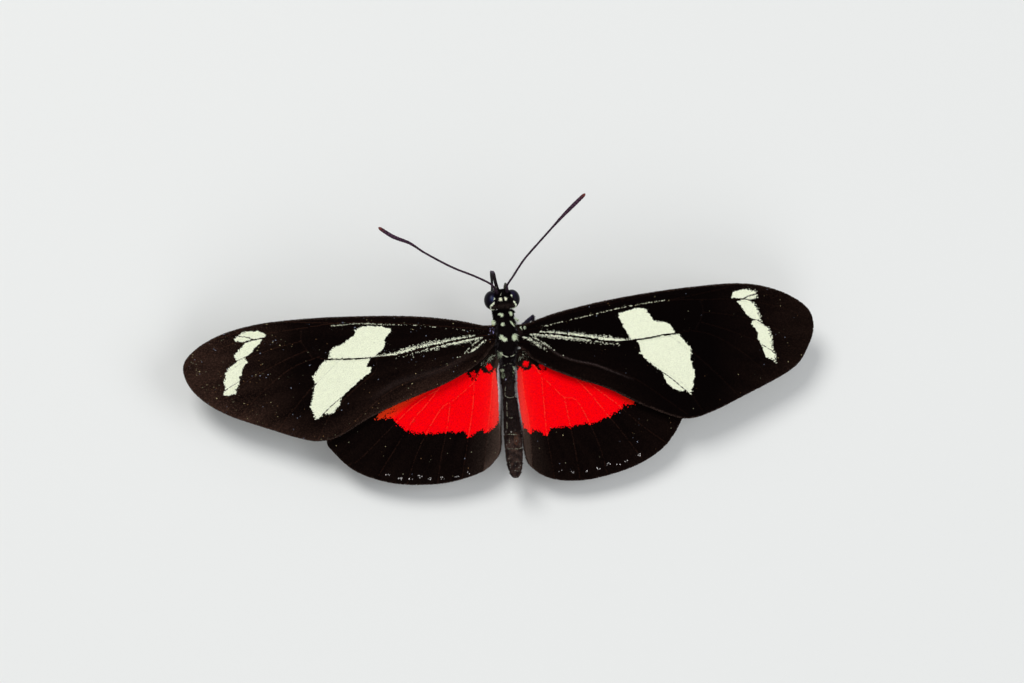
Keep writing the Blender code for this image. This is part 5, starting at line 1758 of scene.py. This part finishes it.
# Where along the foot its joints meet
FOOT_JOINTS = ([0.0, 0.4, 0.58, 0.74, 0.87, 1.0], [0, 1, 2, 3, 4, 5])
HEEL_HEIGHT = 0.3
LEG_DARK = srgb(16, 12, 15)
LEG_SHEEN = srgb(64, 57, 82)
LEG_PALE = srgb(190, 190, 165)
LEG_GLINT = srgb(104, 96, 136)
CLAW = srgb(60, 34, 22)


def add_leg(name, finish):
    """Thigh, shin, five foot joints and two claws, with scales, spurs and bristles."""
    hip, knee, ankle, toe = LEG_PLACES[name]
    hip = hip_upright(np.array(hip))
    knee = np.array(knee)
    ankle = np.array(ankle)
    toe = np.array([*toe, TARSUS_RADIUS])
    draw = np.random.default_rng([19, len(name), ord(name[4]), ord(name[-1])])
    lift = np.array([0.0, 0.0, 1.0])
    pile = Pile()

    thigh = smooth_path([hip, (hip + knee) / 2 + lift * 0.12, knee], 0.08)
    radii = radii_of(thigh, THIGH_RADII)
    grow(pile, thigh, radii, 16, LEG_DARK, 0.85)
    pile.add(*coated(thigh, radii, 1100, 0.18, 0.1, 0.03, LEG_DARK, LEG_SHEEN, draw))
    pile.add(*coated(thigh, radii, 260, 0.26, 0.028, 0.1, LEG_DARK, LEG_GLINT, draw, "hair"))

    inward = unit((hip - knee) * np.array([1.0, 1.0, 0.0])) * SHIN_BOW
    bend = knee + (ankle - knee) * 0.15 + inward
    middle = (knee + ankle) / 2 + inward * 0.8
    shin = smooth_path([knee - lift * 0.02, bend, middle, ankle], 0.08)
    radii = radii_of(shin, SHIN_RADII)
    grow(pile, shin, radii, 14, LEG_DARK)
    pile.add(*coated(shin, radii, 800, 0.16, 0.085, 0.025, LEG_DARK, LEG_SHEEN, draw))
    pile.add(*coated(shin, radii, 110, 0.28, 0.03, 0.2, LEG_DARK, LEG_DARK, draw, "hair"))
    run = unit(ankle - knee)
    for side in (-1.0, 1.0):
        across = unit(np.cross(run, lift)) * side
        knots = [ankle, ankle + run * 0.2 + across * 0.12, ankle + run * 0.42 + across * 0.16]
        tapered(pile, knots, 0.06, 0.05, 0.006)

    heel = ankle + (toe - ankle) * 0.2
    heel[2] = HEEL_HEIGHT
    sole = ankle + (toe - ankle) * 0.42
    sole[2] = TARSUS_RADIUS * 1.05
    foot = smooth_path([ankle, heel, sole, (sole + toe) / 2, toe], 0.05)
    foot[:, 2] = np.maximum(foot[:, 2], TARSUS_RADIUS * 1.05)
    lengths = lengths_along(foot)
    share = lengths / lengths[-1]
    joints = np.interp(share, *FOOT_JOINTS)
    narrow = np.abs(joints - np.round(joints))
    radii = TARSUS_RADIUS * (0.72 + 0.28 * np.clip(narrow / 0.16, 0, 1)) * (1.0 - 0.15 * share)
    grow(pile, foot, radii, 12, LEG_DARK)
    pile.add(*coated(foot, radii, 500, 0.1, 0.05, 0.015, LEG_DARK, LEG_SHEEN, draw))
    forward = unit(np.array([toe[0] - sole[0], toe[1] - sole[1], 0.0]))
    for side in (-1.0, 1.0):
        across = unit(np.cross(forward, lift)) * side
        knots = [toe, toe + forward * 0.12 + across * 0.07 + lift * 0.02,
                 toe + forward * 0.2 + across * 0.1 - lift * 0.07]
        tapered(pile, knots, 0.03, 0.035, 0.005)

    piece = pile.finish(name + "_joints", upright, False)
    shade_long_faces(piece)
    settle(piece, finish, "leg", name)
    keep_above_floor(piece)


def shade_long_faces(piece):
    piece.data.shade_smooth()
    piece.data.set_sharp_from_angle(angle=math.radians(50.0))


def keep_above_floor(piece):
    """The small scales under the foot are pressed flat where they would pass the floor."""
    mesh = piece.data
    points = np.zeros(len(mesh.vertices) * 3, np.float32)
    mesh.vertices.foreach_get("co", points)
    points = points.reshape(-1, 3)
    points[:, 2] = np.maximum(points[:, 2], 0.0)
    mesh.vertices.foreach_set("co", points.ravel())
    mesh.update()


def add_fore_leg(word, finish):
    """The small folded front leg, a brush of hair held under the head."""
    side = SIDES[word]
    path = smooth_path([(side * x, y, z) for x, y, z in FORE_LEG_PATH], 0.06)
    radii = radii_of(path, FORE_LEG_RADII)
    draw = np.random.default_rng([29, ord(word[0])])
    pile = Pile()
    grow(pile, path, radii, 14, LEG_DARK)
    pile.add(*coated(path, radii, 900, 0.15, 0.08, 0.03, LEG_DARK, LEG_PALE * 0.5, draw))
    pile.add(*coated(path, radii, 900, 0.28, 0.03, 0.13, LEG_DARK, HAIR_GREY, draw, "hair"))
    piece = pile.finish("brush_leg_" + word, pitched, False)
    settle(piece, finish, "leg", "leg_fore_" + word)


# Camera, light and floor

PHOTO_WIDTH = 1024
VIEW_DISTANCE = 0.4
VIEW_TILT = math.radians(10.0)
VIEW_ROLL = 0.0732
PIXELS_PER_MM = 9.81
FRAME_RIGHT = 6.4
FRAME_UP = -3.3
SENSOR = 36.0
FLOOR_HALF = 3.0
FLOOR_COLOUR = (0.76, 0.77, 0.76, 1.0)
# The lamps: place, size, power and colour
LAMPS = {
    "key": ((-0.28, 0.35, 0.6), 0.35, 3.3, (1.0, 0.99, 0.97)),
    "fill": ((0.45, -0.1, 0.5), 0.5, 1.3, (0.97, 0.98, 1.0)),
    "back": ((0.0, -0.5, 0.35), 0.4, 0.8, (1.0, 1.0, 1.0)),
}
SKY_COLOUR = (0.95, 0.97, 1.0, 1.0)
SKY_STRENGTH = 0.36


def add_camera():
    """The photograph's view: down on the back, from a little to the insect's left."""
    cos_pitch = math.cos(BODY_PITCH)
    sin_pitch = math.sin(BODY_PITCH)
    ahead = Vector((0.0, cos_pitch, sin_pitch))
    upward = Vector((0.0, -sin_pitch, cos_pitch))
    rightward = Vector((1.0, 0.0, 0.0))
    toward = -math.sin(VIEW_TILT) * rightward + math.cos(VIEW_TILT) * upward
    level = math.cos(VIEW_TILT) * rightward + math.sin(VIEW_TILT) * upward
    straight = math.sqrt(1.0 - VIEW_ROLL ** 2)
    right = straight * level - VIEW_ROLL * ahead
    top = straight * ahead + VIEW_ROLL * level
    shift = (right * FRAME_RIGHT + top * FRAME_UP) * (MM / PIXELS_PER_MM)
    place = Vector(ORIGIN) + toward * VIEW_DISTANCE + shift
    camera = bpy.data.objects.new("camera", bpy.data.cameras.new("camera"))
    bpy.context.scene.collection.objects.link(camera)
    camera.data.sensor_width = SENSOR
    camera.data.lens = SENSOR * VIEW_DISTANCE / (PHOTO_WIDTH / PIXELS_PER_MM * MM)
    camera.data.clip_start = 0.01
    camera.location = place
    turned = np.array([right, top, toward]).T
    camera.rotation_euler = Matrix(turned.tolist()).to_euler()
    bpy.context.scene.camera = camera


def add_floor():
    mesh = bpy.data.meshes.new("floor")
    corners = [(x * FLOOR_HALF, y * FLOOR_HALF, 0.0) for x, y in ((-1, -1), (1, -1), (1, 1), (-1, 1))]
    mesh.from_pydata(corners, [], [(0, 1, 2, 3)])
    floor = bpy.data.objects.new("floor", mesh)
    bpy.context.scene.collection.objects.link(floor)
    paint = bpy.data.materials.new("floor")
    paint.use_nodes = True
    shader = paint.node_tree.nodes["Principled BSDF"]
    shader.inputs["Base Color"].default_value = FLOOR_COLOUR
    shader.inputs["Roughness"].default_value = 0.9
    shader.inputs["Specular IOR Level"].default_value = 0.1
    mesh.materials.append(paint)


def add_light():
    for name, (place, size, power, colour) in LAMPS.items():
        lamp = bpy.data.lights.new(name, "AREA")
        lamp.shape = "DISK"
        lamp.size = size
        lamp.energy = power
        lamp.color = colour
        thing = bpy.data.objects.new(name, lamp)
        bpy.context.scene.collection.objects.link(thing)
        thing.location = place
        thing.rotation_euler = (Vector(place) - Vector(ORIGIN)).to_track_quat("Z", "Y").to_euler()
    world = bpy.data.worlds.new("studio")
    world.use_nodes = True
    sky = world.node_tree.nodes["Background"]
    sky.inputs["Color"].default_value = SKY_COLOUR
    sky.inputs["Strength"].default_value = SKY_STRENGTH
    bpy.context.scene.world = world
    bpy.context.scene.view_settings.view_transform = "Standard"


def build():
    finishes = {name: material(name, *numbers) for name, numbers in FINISHES.items()}
    for word in ("left", "right"):
        for pair in ("hindwing", "forewing"):
            add_wing(pair, word, finishes)
        add_eye(word, finishes["eye"])
        add_antenna(word, finishes["feeler"])
        add_palp(word, finishes["body coat"])
        add_fore_leg(word, finishes["leg"])
        for pair in ("mid", "hind"):
            add_leg("leg_%s_%s" % (pair, word), finishes["leg"])
    add_skin(finishes["body skin"])
    add_coat(finishes["body coat"])
    add_tongue(finishes["feeler"])
    add_camera()
    add_floor()
    add_light()


build()
